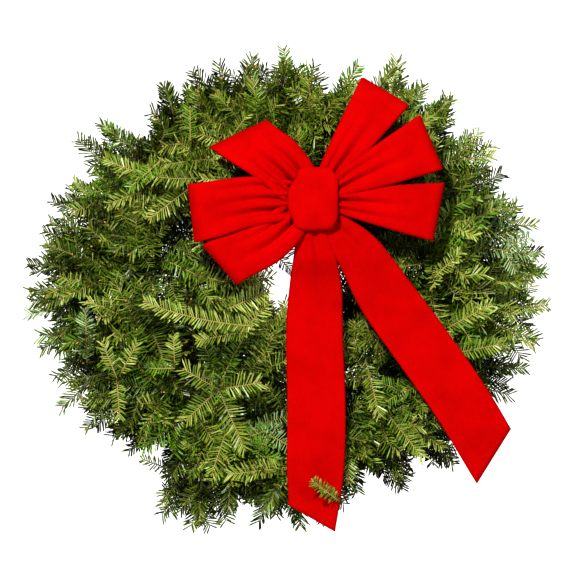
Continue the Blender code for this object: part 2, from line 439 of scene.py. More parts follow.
@dataclass(frozen=True)
class VelvetFinish:
    """Bright red short-pile velvet with a soft sheen and slightly brushed patches."""

    red: Colour = (0.455, 0.0008, 0.0014)
    deep: Colour = (0.305, 0.0005, 0.0008)
    patch_scale: float = 38.0
    pile_scale: float = 1500.0
    pile_share: float = 0.45
    roughness: float = 0.9
    sheen: float = 0.25

    def make(self) -> bpy.types.Material:
        """Builds the material on Object coordinates.

        Returns:
            The material.
        """
        board = FinishBoard("red_velvet_pile", self.roughness)
        place = board.add("ShaderNodeTexCoord").outputs["Object"]
        patch = board.noise(place, self.patch_scale, 3.0)
        pile = board.noise(place, self.pile_scale, 2.0)
        patch = board.sum("MULTIPLY", patch, 1.0 - self.pile_share)
        mixed = board.sum("MULTIPLY_ADD", pile, self.pile_share, patch)
        brushed = board.sum("MULTIPLY_ADD", board.band(mixed, 0.32, 0.62), 0.55, 0.45)
        board.set("Base Color", board.mix(brushed, (*self.deep, 1.0), (*self.red, 1.0)))
        board.bump(pile, 0.35, 0.0004)
        board.set("Specular IOR Level", 0.02)
        board.set("Sheen Weight", self.sheen)
        board.set("Sheen Roughness", 0.4)
        board.set("Sheen Tint", (1.0, 0.0, 0.0, 1.0))
        return board.material


@dataclass(frozen=True)
class WireFinish:
    """Dark green enamelled wire, scuffed where it was bent."""

    name: str
    enamel: Colour
    scuffed: Colour
    roughness: float
    scuff_scale: float = 320.0

    def make(self) -> bpy.types.Material:
        """Builds the material on Object coordinates.

        Returns:
            The material.
        """
        board = FinishBoard(self.name, self.roughness)
        place = board.add("ShaderNodeTexCoord").outputs["Object"]
        noise = board.noise(place, self.scuff_scale, 4.0)
        worn = board.band(noise, 0.56, 0.70)
        board.set("Base Color", board.mix(worn, (*self.enamel, 1.0), (*self.scuffed, 1.0)))
        board.set("Metallic", board.sum("MULTIPLY", worn, 0.5))
        board.bump(noise, 0.3, 0.0001)
        return board.material


@dataclass
class Twig:
    """One length of twig and the two ranks of needles on it."""

    # Painted shade: growth that lies deep behind the front is darkened, less so near the hole and the edge.
    BURIED_PAINTED_SHADE = 0.44
    TIP_LIGHTER = 0.22
    PAINTED_SHADE_DEPTH = 0.084
    HOLE_FADE = (0.050, 0.040)
    EDGE_FADE = (0.200, 0.050)
    LEAN = (66.0, 40.0)
    points: list[Vector]
    facing: Vector
    shade: float
    needle: float = 0.017
    thick: float = 0.0011
    bare: float = 0.0
    bud: float = 0.8

    def shade_at(self, place: Vector, share: float) -> float:
        """Palette place of the growth: painted shade darkens it where it lies deep behind other growth, and
        its young tip is lighter.

        Args:
            place: the point of the twig.
            share: its share of the twig's length.

        Returns:
            A place from 0 to 1.
        """
        if self.shade > OLIVE_END:
            return self.shade
        radius = math.hypot(place.x, place.z - RING_MIDDLE_UP)
        off_hole = smooth((radius - self.HOLE_FADE[0]) / self.HOLE_FADE[1])
        off_edge = 1.0 - smooth((radius - self.EDGE_FADE[0]) / self.EDGE_FADE[1])
        # How much painted shade falls here, from 0 at the front to 1 deep behind.
        painted_shade_share = (1.0 - smooth((0.002 - place.y) / self.PAINTED_SHADE_DEPTH)) * off_hole * off_edge
        shade = self.shade - self.BURIED_PAINTED_SHADE * painted_shade_share + self.TIP_LIGHTER * (share - 0.5)
        return min(LIGHTEST, max(DARKEST, shade))

    def needle_at(self, share: float) -> float:
        """Needle length on the twig.

        Args:
            share: share of the twig's length.

        Returns:
            Metres, 0 where the twig is bare.
        """
        if share < self.bare:
            return 0.0
        grown = (share - self.bare) / max(1e-6, 1.0 - self.bare)
        rising = 0.62 + 0.38 * smooth(grown / 0.18)
        falling = 1.0 - 0.22 * smooth((grown - 0.75) / 0.25)
        return self.needle * rising * falling

    def lean_at(self, share: float) -> float:
        """Angle between needle and twig at a share of its length, in radians: closer to it at the tip."""
        wide, narrow = self.LEAN
        return math.radians(wide - (wide - narrow) * smooth((share - 0.60) / 0.40))


@dataclass
class Frond:
    """A leading twig with pairs of side twigs at its yearly nodes, all in one plane."""

    start: Vector
    tip: Vector
    facing: Vector
    shade: float
    lift: Vector = field(default_factory=lambda: Vector((0.0, 0.0, 0.0)))
    needle: float = 0.017
    bare: float = 0.12
    year: float = 0.046
    most_side: float = 0.050
    depth: int = 1
    spread: float = 50.0
    thick: float = 0.0008
    POINT_STEP = 0.007
    MISSING_SIDE = 0.30
    LEAST_FORKED = 0.036

    def twigs(self, rng: random.Random) -> list[Twig]:
        """Grows the frond.

        Args:
            rng: source of its small differences.

        Returns:
            The leading twig first, then every side twig.
        """
        spine = arched(self.start, self.tip, self.lift, self.POINT_STEP)
        run = lengths_along(spine)
        ways = directions(spine)
        length = run[-1]
        grown = [Twig(spine, self.facing, self.shade, self.needle, self.thick, self.bare)]
        if self.depth == 0:
            return grown
        beyond = self.year * rng.uniform(0.75, 1.1)
        while beyond < length * (1.0 - self.bare):
            index = min(range(len(run)), key=lambda i: abs(run[i] - (length - beyond)))
            for side in (-1, 1):
                if rng.random() < self.MISSING_SIDE:
                    continue
                grown += self._side(spine[index], ways[index], side, beyond, rng)
            beyond += self.year * rng.uniform(0.7, 1.15)
        return grown

    def _side(self, root: Vector, way: Vector, side: int, beyond: float, rng: random.Random) -> list[Twig]:
        """Grows one side twig.

        Args:
            root: where it leaves the leading twig.
            way: the leading twig's direction there.
            side: -1 or 1.
            beyond: length of leading twig past the root.
            rng: source of its small differences.

        Returns:
            Its twigs.
        """
        reach = min(self.most_side, beyond * 0.80) * rng.uniform(0.70, 1.15)
        turn = math.radians(self.spread + rng.uniform(-10, 10))
        across = self.facing.cross(way).normalized() * side
        heading = way * math.cos(turn) + across * math.sin(turn)
        sag = self.facing * rng.uniform(-0.30, 0.22) * reach
        tip = root + heading * reach + sag + way * reach * 0.10
        facing = (self.facing + across * rng.uniform(-0.25, 0.40)).normalized()
        shade = self.shade
        if shade < OLIVE_END:
            shade = min(LIGHTEST, max(DARKEST, shade + rng.uniform(-0.06, 0.06)))
        branch = Frond(
            root,
            tip,
            facing,
            shade,
            lift=-way * reach * 0.07,
            needle=self.needle * rng.uniform(0.86, 0.98),
            bare=0.04,
            year=self.year * 0.9,
            most_side=self.most_side * 0.6,
            depth=self.depth - 1 if reach > self.LEAST_FORKED else 0,
            spread=self.spread - 2,
            thick=self.thick * 0.72,
        )
        return branch.twigs(rng)


class LineBoard(NodeBoard):
    """Board of a geometry tree that reads and stores the attributes of the twigs' lines."""

    def __init__(self, tree: bpy.types.NodeTree) -> None:
        """Adds the tree's inputs."""
        super().__init__(tree)
        self.given = self.add("NodeGroupInput").outputs

    def fact(self, name: str, kind: str = "FLOAT") -> bpy.types.NodeSocket:
        """Reads one of the line's own attributes."""
        return self.add("GeometryNodeInputNamedAttribute", {"Name": name}, data_type=kind).outputs[0]

    def keep(
        self, geometry: Any, name: str, value: Any, kind: str = "FLOAT", domain: str = "POINT"
    ) -> bpy.types.NodeSocket:
        """Stores a value on the geometry."""
        inputs = {"Geometry": geometry, "Name": name, "Value": value}
        return self.add("GeometryNodeStoreNamedAttribute", inputs, data_type=kind, domain=domain).outputs[0]

    def chance(self, spread: Any, seed_step: int) -> bpy.types.NodeSocket:
        """Draws a number at random for each point.

        Args:
            spread: the greatest number, either way from 0.
            seed_step: added to the tree's seed.

        Returns:
            The number.
        """
        seed = self.sum("ADD", self.given["Seed"], float(seed_step))
        inputs = {2: self.sum("MULTIPLY", spread, -1.0), 3: spread, 8: seed}
        return self.add("FunctionNodeRandomValue", inputs, data_type="FLOAT").outputs[1]

    def cell(self, shade: Any) -> bpy.types.NodeSocket:
        """Number of the palette cell that a shade falls in."""
        return self.sum("FLOOR", self.sum("MULTIPLY", shade, PALETTE_CELLS - 0.01))

    def turned(self, along: Any, upward: Any) -> bpy.types.NodeSocket:
        """Rotation that lays a shape's Y along one direction and its Z near another."""
        axes = {"primary_axis": "Y", "secondary_axis": "Z"}
        return self.add("FunctionNodeAxesToRotation", {0: along, 1: upward}, **axes).outputs[0]

    def planted(self, points: Any, chosen: Any, shape: Any, turn: Any, size: Any) -> bpy.types.NodeSocket:
        """Sets a template shape on the chosen points.

        Args:
            points: where they may stand.
            chosen: whether one stands there.
            shape: the template object.
            turn: how each is turned.
            size: how large each is.

        Returns:
            The instances.
        """
        shape = self.add("GeometryNodeObjectInfo", {"Object": shape}).outputs["Geometry"]
        inputs = {"Points": points, "Selection": chosen, "Instance": shape, "Rotation": turn, "Scale": size}
        return self.add("GeometryNodeInstanceOnPoints", inputs).outputs[0]


class TwigDresser:
    """Geometry Nodes tree that turns lines into bark, two ranks of needles, and buds."""

    INPUTS = (
        ("Needle", "NodeSocketObject", None),
        ("Bud", "NodeSocketObject", None),
        ("Needle Spacing", "NodeSocketFloat", 0.00130),
        ("Needle Width", "NodeSocketFloat", 1.08),
        ("Lean Scatter", "NodeSocketFloat", 0.20),
        ("Lift Scatter", "NodeSocketFloat", 0.50),
        ("Shade Scatter", "NodeSocketFloat", 0.17),
        ("Bark Sides", "NodeSocketInt", 5),
        ("Seed", "NodeSocketInt", 0),
    )
    LINE_FACTS = ("way", "facing", "needle", "lean", "shade", "thick", "bud", "cell", "around", "along")
    MEAN_LIFT = 0.36
    ROLL_SCATTER = 0.55
    LENGTH_SCATTER = 0.14
    LEAST_NEEDLE = 0.003
    TWIG_TAPER = 0.45
    BUDDED_SHARE = 0.6

    def __init__(self, needles: bpy.types.Material, bark: bpy.types.Material) -> None:
        """Builds the template needle and bud, and the tree.

        Args:
            needles: finish of the needles.
            bark: finish of the twigs and buds.
        """
        self.needles = needles
        self.bark = bark
        self.needle_shape = self._needle()
        self.bud_shape = self._bud()
        self.tree = bpy.data.node_groups.new("dressed_twigs", "GeometryNodeTree")
        self.sockets = self._interface()
        self._wire()

    @staticmethod
    def _needle() -> bpy.types.Object:
        """Builds a needle of unit length along +Y: flat above, keeled below, its tip curving up.

        Returns:
            The template.
        """
        stations = ((0.0, 0.00052, 0.0), (0.76, 0.00078, 0.055))
        keel = 0.034
        points = []
        for along, half, rise in stations:
            points += [
                Vector((-half, along, rise)),
                Vector((half, along, rise)),
                Vector((0.0, along, rise - keel)),
            ]
        points.append(Vector((0.0, 1.0, 0.130)))
        top = [(0, 1, 4, 3), (6, 3, 4)]
        under = [(0, 3, 5, 2), (1, 2, 5, 4), (0, 2, 1), (6, 5, 3), (6, 4, 5)]
        shape = mesh_object("needle_shape", points, top + under)
        layer = shape.data.uv_layers.new(name=UV_NAME)
        across = (0.0, 1.0, 0.5, 0.0, 1.0, 0.5, 0.5)
        for face in shape.data.polygons:
            low, high = NEEDLE_TOP_V if face.index < len(top) else NEEDLE_UNDER_V
            for loop in face.loop_indices:
                corner = shape.data.loops[loop].vertex_index
                along = max(points[corner].y, 0.03 if corner == 2 else 0.0)
                layer.data[loop].uv = (across[corner], low + (high - low) * along)
        return shape

    @staticmethod
    def _bud() -> bpy.types.Object:
        """Builds a blunt egg-shaped bud, 5 mm long, along +Y.

        Returns:
            The template.
        """
        sides, profile = 6, ((0.0008, 0.0013), (0.0026, 0.0015), (0.0042, 0.0008))
        points = [Vector((0.0, -0.0004, 0.0))]
        for along, radius in profile:
            for side in range(sides):
                turn = 2 * math.pi * side / sides
                points.append(Vector((radius * math.cos(turn), along, -radius * math.sin(turn))))
        points.append(Vector((0.0, 0.0050, 0.0)))
        last = len(points) - 1
        faces = []
        for side in range(sides):
            after = (side + 1) % sides
            faces.append((0, 1 + after, 1 + side))
            for ring in range(len(profile) - 1):
                low = 1 + ring * sides
                faces.append((low + side, low + after, low + sides + after, low + sides + side))
            faces.append((last, last - sides + side, last - sides + after))
        shape = mesh_object("bud_shape", points, faces)
        layer = shape.data.uv_layers.new(name=UV_NAME)
        for face in shape.data.polygons:
            face.use_smooth = True
            for loop in face.loop_indices:
                place = points[shape.data.loops[loop].vertex_index]
                around_share = 0.5 + 0.45 * math.sin(math.atan2(place.z, place.x + 0.0004))
                tall = (place.y + 0.0004) / 0.0054
                layer.data[loop].uv = (around_share, BUD_V[0] + (BUD_V[1] - BUD_V[0]) * tall)
        return shape

    def _interface(self) -> dict[str, str]:
        """Makes the tree's sockets.

        Returns:
            Each input's identifier by its name.
        """
        face = self.tree.interface
        face.new_socket("Lines", in_out="INPUT", socket_type="NodeSocketGeometry")
        known = {}
        for name, kind, value in self.INPUTS:
            socket = face.new_socket(name, in_out="INPUT", socket_type=kind)
            if value is not None:
                socket.default_value = value
            known[name] = socket.identifier
        face.new_socket("Geometry", in_out="OUTPUT", socket_type="NodeSocketGeometry")
        return known

    def _bark_over(self, board: LineBoard, curves: Any) -> bpy.types.NodeSocket:
        """Sweeps bark along the twigs.

        Args:
            board: board of the tree.
            curves: the twigs' middle lines.

        Returns:
            The bark, with its UV map.
        """
        inputs = {"Resolution": board.given["Bark Sides"], "Radius": 1.0}
        ring = board.add("GeometryNodeCurvePrimitiveCircle", inputs).outputs[0]
        share = board.add("GeometryNodeSplineParameter").outputs["Factor"]
        ring = board.keep(ring, "around", share)
        marked = board.keep(curves, "along", share)
        inputs = {"Curve": marked, "Profile Curve": ring, "Scale": board.fact("thick"), "Fill Caps": True}
        bark = board.add("GeometryNodeCurveToMesh", inputs).outputs[0]
        off_seam = board.sum("ABSOLUTE", board.sum("SUBTRACT", board.fact("around"), 0.4))
        along = board.sum("MULTIPLY_ADD", board.fact("along"), TWIG_V[1] - TWIG_V[0] - 0.01, TWIG_V[0])
        along = board.sum("ADD", along, board.sum("MULTIPLY", off_seam, 0.012))
        return board.keep(bark, UV_NAME, board.triple(board.fact("around"), along), "FLOAT2", "CORNER")

    def _toned(self, board: LineBoard) -> bpy.types.NodeSocket:
        """Scatters the shade of each needle, less among the fresh and silvery ones.

        Args:
            board: board of the tree.

        Returns:
            The shade.
        """
        olive = board.sum("LESS_THAN", board.fact("shade"), OLIVE_END)
        share = board.sum("MULTIPLY_ADD", olive, 0.75, 0.25)
        scatter = board.sum("MULTIPLY", board.chance(board.given["Shade Scatter"], 5), share)
        most = board.sum("MULTIPLY_ADD", olive, -0.19, 0.99)
        least_of = board.sum("MINIMUM", board.sum("ADD", board.fact("shade"), scatter), most)
        return board.sum("MAXIMUM", least_of, DARKEST)

    def _needle_ranks(self, board: LineBoard, curves: Any) -> bpy.types.NodeSocket:
        """Sets needles in two ranks along the twigs.

        Args:
            board: board of the tree.
            curves: the twigs' middle lines.

        Returns:
            The needles as instances.
        """
        inputs = {"Curve": curves, "Length": board.given["Needle Spacing"]}
        spaced = board.add("GeometryNodeResampleCurve", inputs, mode="LENGTH").outputs[0]
        way, facing = board.fact("way", "FLOAT_VECTOR"), board.fact("facing", "FLOAT_VECTOR")
        number = board.add("GeometryNodeInputIndex").outputs[0]
        rank = board.sum("MULTIPLY_ADD", board.sum("MODULO", number, 2.0), 2.0, -1.0)
        lean = board.sum("ADD", board.fact("lean"), board.chance(board.given["Lean Scatter"], 1))
        sideways = board.sum("MULTIPLY", board.sum("SINE", lean), rank)
        side = board.scaled(board.vector("CROSS_PRODUCT", facing, way), sideways)
        ahead = board.scaled(way, board.sum("COSINE", lean))
        lift = board.sum("ADD", board.chance(board.given["Lift Scatter"], 2), self.MEAN_LIFT)
        heading = board.vector("ADD", board.vector("ADD", side, ahead), board.scaled(facing, lift))
        upward = board.vector("ADD", facing, board.scaled(way, board.chance(self.ROLL_SCATTER, 3)))
        longer = board.sum("ADD", 1.0, board.chance(self.LENGTH_SCATTER, 4))
        span = board.sum("MULTIPLY", board.fact("needle"), longer)
        size = board.triple(board.given["Needle Width"], span, span)
        points = board.keep(spaced, "cell", board.cell(self._toned(board)))
        grown = board.sum("GREATER_THAN", board.fact("needle"), self.LEAST_NEEDLE)
        return board.planted(points, grown, board.given["Needle"], board.turned(heading, upward), size)

    def _wire(self) -> None:
        """Lays out the tree: bark, needles and buds, then realised, mapped and given their finishes."""
        board = LineBoard(self.tree)
        lines = board.keep(board.given["Lines"], "cell", board.cell(board.fact("shade")))
        curves = board.add("GeometryNodeMeshToCurve", {0: lines}).outputs[0]
        way, facing = board.fact("way", "FLOAT_VECTOR"), board.fact("facing", "FLOAT_VECTOR")
        budded = board.sum("GREATER_THAN", board.fact("bud"), 0.1)
        buds = board.planted(lines, budded, board.given["Bud"], board.turned(way, facing), board.fact("bud"))
        joined = board.add("GeometryNodeJoinGeometry")
        for part in (self._bark_over(board, curves), self._needle_ranks(board, curves), buds):
            self.tree.links.new(part, joined.inputs[0])
        whole = board.add("GeometryNodeRealizeInstances", {0: joined.outputs[0]}).outputs[0]

        flat = board.add("ShaderNodeSeparateXYZ", {0: board.fact(UV_NAME, "FLOAT_VECTOR")}).outputs
        within = board.sum("MULTIPLY_ADD", flat[0], 0.8, 0.1)
        across = board.sum("DIVIDE", board.sum("ADD", board.fact("cell"), within), float(PALETTE_CELLS))
        whole = board.keep(whole, UV_NAME, board.triple(across, flat[1]), "FLOAT2", "CORNER")
        green = board.add("GeometryNodeSetMaterial", {"Geometry": whole, "Material": self.needles}).outputs[0]
        woody = board.sum("GREATER_THAN", flat[1], BARK_FROM_V)
        inputs = {"Geometry": green, "Selection": woody, "Material": self.bark}
        brown = board.add("GeometryNodeSetMaterial", inputs).outputs[0]
        board.add("NodeGroupOutput", {0: brown})

    def dress(self, name: str, twigs: list[Twig], seed: int) -> bpy.types.Object:
        """Dresses a bunch's twigs.

        Args:
            name: name of the finished piece.
            twigs: the bunch's twigs.
            seed: seed of its needles.

        Returns:
            The finished plain mesh.
        """
        points: list[Vector] = []
        edges: list[tuple[int, int]] = []
        facts: dict[str, list[float]] = {key: [] for key in ("needle", "lean", "shade", "thick", "bud")}
        vectors: dict[str, list[float]] = {"way": [], "facing": []}
        for twig in twigs:
            first = len(points)
            run = lengths_along(twig.points)
            for index, (place, way) in enumerate(zip(twig.points, directions(twig.points))):
                share = run[index] / run[-1]
                facing = (twig.facing - way * twig.facing.dot(way)).normalized()
                points.append(place)
                vectors["way"].extend(way)
                vectors["facing"].extend(facing)
                facts["needle"].append(twig.needle_at(share))
                facts["lean"].append(twig.lean_at(share))
                facts["shade"].append(twig.shade_at(place, share))
                facts["thick"].append(twig.thick * (1.0 - self.TWIG_TAPER * share))
                budded = index == len(run) - 1 and hash_share(seed, len(points)) < self.BUDDED_SHARE
                facts["bud"].append(twig.bud if budded else 0.0)
            edges += [(first + i, first + i + 1) for i in range(len(run) - 1)]
        mesh = bpy.data.meshes.new("lines")
        mesh.from_pydata(points, edges, [])
        for key, values in facts.items():
            mesh.attributes.new(key, "FLOAT", "POINT").data.foreach_set("value", values)
        for key, values in vectors.items():
            mesh.attributes.new(key, "FLOAT_VECTOR", "POINT").data.foreach_set("vector", values)
        lines = bpy.data.objects.new("lines", mesh)
        bpy.context.scene.collection.objects.link(lines)
        modifier = lines.modifiers.new("dressed", "NODES")
        modifier.node_group = self.tree
        modifier[self.sockets["Needle"]] = self.needle_shape
        modifier[self.sockets["Bud"]] = self.bud_shape
        modifier[self.sockets["Seed"]] = seed
        piece = settled(lines, name)
        for key in self.LINE_FACTS:
            if key in piece.data.attributes:
                piece.data.attributes.remove(piece.data.attributes[key])
        return piece

    def put_away(self) -> None:
        """Removes the template shapes."""
        for shape in (self.needle_shape, self.bud_shape):
            bpy.data.objects.remove(shape)


@dataclass(frozen=True)
class Spray:
    """A frond of one twig, placed one by one: tip, base and how far forward each is, from the ring's centre.
    """

    tip: tuple[float, float]
    base: tuple[float, float]
    shade: float
    needle: float = 0.0135
    forward: tuple[float, float] = (0.084, 0.090)
    bend: float = 0.0


@dataclass(frozen=True)
class Growth:
    """One set of fronds in a bunch, with the ranges that its sizes are drawn from.

    Places out and forward are metres, and turns and swings are degrees. What base_out and tip_out
    are measured from is said by the method that grows the set.
    """

    fronds: int
    base_out: Range = (0.0, 0.0)
    base_forward: Range = (0.0, 0.0)
    tip_out: Range = (0.0, 0.0)
    tip_forward: Range = (0.0, 0.0)
    turn: Range = (0.0, 0.0)
    swing: Range = (0.0, 0.0)
    lift: Range = (0.0, 0.0)
    tilt: float = 0.45
    most_side: float = 0.048
    bare: float = 0.07
    # How much darker the set is than its place's tone: painted shade for growth that lies behind.
    deeper: float = 0.0


@dataclass
class FirWreath:
    """Four rows of cut fir bunches, each bound to the ring by its stem."""

    counts: dict[Row, int] = field(
        default_factory=lambda: {Row.OUTER: 16, Row.FRONT: 12, Row.CROWN: 8, Row.INNER: 8}
    )
    first_angle: float = 74.0
    valley: float = 0.006
    outer_base: float = 0.008
    # Fronds of each kind in a bunch. The first kind has one for each edge tip instead of a number.
    edge_growth: Growth = Growth(
        0, base_forward=(0.002, 0.014), tip_forward=(-0.012, 0.030), lift=(0.0, 0.012)
    )
    backing_growth: Growth = Growth(
        7, (0.125, 0.195), (0.006, 0.020), (0.125, 0.205), (0.006, 0.024), swing=(16, 30),
        tilt=0.35, most_side=0.045, bare=0.02, deeper=0.12,
    )
    under_growth: Growth = Growth(
        10, (-0.010, 0.030), (0.002, 0.032), (0.88, 0.99), (-0.016, 0.054), (-3, 3), (-9, 9),
        (0.0, 0.014), tilt=0.5, most_side=0.050,
    )
    leaning_growth: Growth = Growth(
        9, (-0.020, 0.016), (0.014, 0.040), (0.84, 1.02), (0.036, 0.090), (-4, 4), (-16, 16),
        (0.016, 0.034), tilt=0.42,
    )
    crossing_growth: Growth = Growth(
        5, (0.145, 0.185), (0.040, 0.054), (0.160, 0.215), (0.066, 0.086), swing=(18, 32),
        lift=(0.012, 0.012), tilt=0.40, most_side=0.040,
    )
    crown_growth: Growth = Growth(
        9, (-0.004, 0.030), (0.016, 0.040), (0.004, 0.050), (0.036, 0.078), (-5, 5), (-20, 20),
        (0.018, 0.032), tilt=0.42, most_side=0.042, bare=0.04,
    )
    hole_growth: Growth = Growth(
        7, (0.006, 0.014), (0.002, 0.014), (0.002, 0.030), (-0.012, 0.034), (-5, 5),
        lift=(0.0, 0.012), most_side=0.040,
    )
    crossing_spread: float = 0.8
    fresh_share: float = 0.09
    silvery_share: float = 0.03
    shade_scatter: float = 0.13
    needle_lengths: Range = (0.0125, 0.0185)
    years: Range = (0.034, 0.050)
    forked_share: float = 0.35
    carrier_arch: float = 0.030
    hole_middle: tuple[float, float] = (-0.006, 0.010)
    hole_half: tuple[float, float] = (0.023, 0.037)
    # Angle and reach of each frond that ends at the edge.
    edge_tips: tuple[Range, ...] = (
        (3, 0.288), (8, 0.285), (14, 0.284), (21, 0.279), (28, 0.270), (35, 0.276), (41, 0.276),
        (49, 0.278), (56, 0.272), (64, 0.281), (75, 0.255), (83, 0.256), (91, 0.265), (99, 0.261),
        (107, 0.261), (114, 0.262), (122, 0.262), (129, 0.251), (139, 0.278), (145, 0.286), (154, 0.272),
        (160, 0.280), (167, 0.280), (175, 0.291), (181, 0.288), (186, 0.292), (194, 0.284), (201, 0.280),
        (208, 0.286), (215, 0.276), (221, 0.264), (226, 0.270), (232, 0.262), (241, 0.290), (248, 0.289),
        (256, 0.276), (263, 0.266), (273, 0.268), (280, 0.266), (288, 0.256), (299, 0.266), (306, 0.266),
        (313, 0.270), (319, 0.264), (327, 0.268), (334, 0.276), (341, 0.280), (348, 0.284), (356, 0.290),
    )
    # Angle, half width in degrees, and how near the ring's middle each gap in the edge comes.
    notches: tuple[tuple[float, float, float], ...] = (
        (24, 4.0, 0.242), (43, 5.0, 0.240), (68, 3.5, 0.224), (78, 6.0, 0.208), (132, 6.0, 0.216),
        (151, 4.0, 0.234), (223, 4.0, 0.238), (232, 7.5, 0.212), (259, 4.5, 0.236), (293, 7.0, 0.210),
        (306, 4.5, 0.220),
    )
    # How far from the ring's centre the front, crown and inner bunches reach, in their order round it.
    front_reaches: tuple[float, ...] = (
        0.236, 0.240, 0.232, 0.244, 0.252, 0.250, 0.244, 0.238, 0.232, 0.236, 0.242, 0.240,
    )
    crown_reaches: tuple[float, ...] = (0.066, 0.060, 0.056, 0.052, 0.058, 0.064, 0.078, 0.082)
    inner_reaches: tuple[float, ...] = (0.052, 0.046, 0.036, 0.034, 0.038, 0.048, 0.064, 0.066)
    # The growth seen best, set one by one. The bow presses these back, and the hole cuts them.
    sprays: tuple[Spray, ...] = (
        Spray((-0.155, -0.017), (-0.034, -0.043), 0.70, 0.0145, (0.090, 0.100), bend=0.010),
        Spray((-0.098, -0.058), (-0.036, -0.047), 0.54, 0.0140),
        Spray((-0.263, -0.008), (-0.207, 0.020), 0.50, 0.0115, (0.050, 0.052)),
        Spray((-0.222, -0.026), (-0.221, -0.083), 0.97, 0.0130, (0.062, 0.066)),
        Spray((-0.202, -0.062), (-0.187, -0.100), 0.70, 0.0115),
        Spray((-0.166, -0.064), (-0.184, -0.096), 0.66, 0.0115),
        Spray((-0.184, -0.142), (-0.187, -0.102), 0.62, 0.0115),
        Spray((-0.152, -0.089), (-0.124, -0.089), 0.88, 0.0115),
        Spray((-0.125, -0.054), (-0.124, -0.089), 0.66, 0.0115),
        Spray((-0.112, -0.091), (-0.076, -0.112), 0.54, 0.0175),
        Spray((-0.110, -0.144), (-0.076, -0.112), 0.54, 0.0175),
        Spray((-0.048, -0.176), (-0.076, -0.112), 0.56, 0.0175),
        Spray((-0.032, -0.105), (-0.076, -0.112), 0.60, 0.0175),
        Spray((-0.065, -0.205), (0.000, -0.197), 0.68, 0.0145),
        Spray((-0.083, -0.204), (-0.067, -0.155), 0.58, 0.0140),
        Spray((-0.199, 0.140), (-0.098, 0.119), 0.56, 0.0145, (0.094, 0.090), bend=0.016),
        Spray((-0.172, 0.109), (-0.140, 0.137), 0.87, 0.0115, (0.092, 0.096)),
        Spray((-0.150, 0.075), (-0.109, 0.107), 0.54, 0.0140, (0.088, 0.096)),
        Spray((-0.107, 0.194), (-0.107, 0.160), 0.87, 0.0115),
        Spray((-0.045, 0.187), (-0.065, 0.160), 0.54, 0.0110),
        Spray((0.223, 0.143), (0.150, 0.135), 0.50, 0.0130, (0.060, 0.060)),
        Spray((0.209, 0.169), (0.182, 0.139), 0.48, 0.0115, (0.060, 0.060)),
        Spray((0.188, 0.038), (0.160, 0.010), 0.70, 0.0115),
        Spray((0.220, -0.020), (0.165, -0.050), 0.60, 0.0140),
        Spray((0.235, -0.062), (0.170, -0.075), 0.56, 0.0140),
        Spray((0.100, -0.140), (0.085, -0.080), 0.56, 0.0140),
        Spray((0.150, -0.190), (0.110, -0.140), 0.54, 0.0140),
        Spray((-0.022, 0.012), (-0.085, 0.010), 0.68, 0.0135, (0.050, 0.064)),
        Spray((-0.020, -0.012), (-0.080, -0.030), 0.70, 0.0140, (0.060, 0.070)),
        Spray((-0.010, -0.020), (-0.030, -0.085), 0.66, 0.0135, (0.060, 0.066)),
        Spray((-0.030, 0.002), (-0.090, -0.008), 0.56, 0.0140, (0.056, 0.066)),
        Spray((0.002, -0.030), (-0.012, -0.090), 0.60, 0.0140, (0.056, 0.066)),
        Spray((0.012, -0.034), (0.030, -0.095), 0.50, 0.0140, (0.040, 0.050)),
        # The sprays from here to the next group lie deep under the bow and carry dark shades, painted shade
        # there.
        Spray((-0.014, 0.104), (-0.078, 0.104), 0.28, 0.0165, (0.030, 0.040)),
        Spray((-0.018, 0.124), (-0.080, 0.118), 0.30, 0.0165, (0.040, 0.050)),
        Spray((-0.030, 0.112), (-0.060, 0.140), 0.24, 0.0165, (0.020, 0.026)),
        Spray((0.046, 0.026), (0.105, 0.032), 0.18, 0.0165, (0.014, 0.020)),
        Spray((0.046, 0.012), (0.105, 0.008), 0.18, 0.0165, (0.018, 0.024)),
        Spray((0.050, -0.003), (0.105, -0.018), 0.18, 0.0165, (0.014, 0.020)),
        Spray((0.054, -0.020), (0.100, -0.045), 0.22, 0.0165, (0.018, 0.024)),
        Spray((0.050, 0.032), (0.112, 0.050), 0.20, 0.0140, (0.026, 0.032)),
        Spray((0.050, 0.006), (0.112, 0.000), 0.20, 0.0140, (0.026, 0.032)),
        Spray((0.056, -0.014), (0.112, -0.036), 0.30, 0.0140, (0.026, 0.032)),
        Spray((0.048, 0.018), (0.125, 0.035), 0.45, 0.0140, (0.040, 0.046)),
        Spray((0.052, -0.006), (0.125, -0.010), 0.50, 0.0140, (0.044, 0.050)),
        Spray((0.050, -0.030), (0.115, -0.055), 0.55, 0.0140, (0.044, 0.050)),
    )
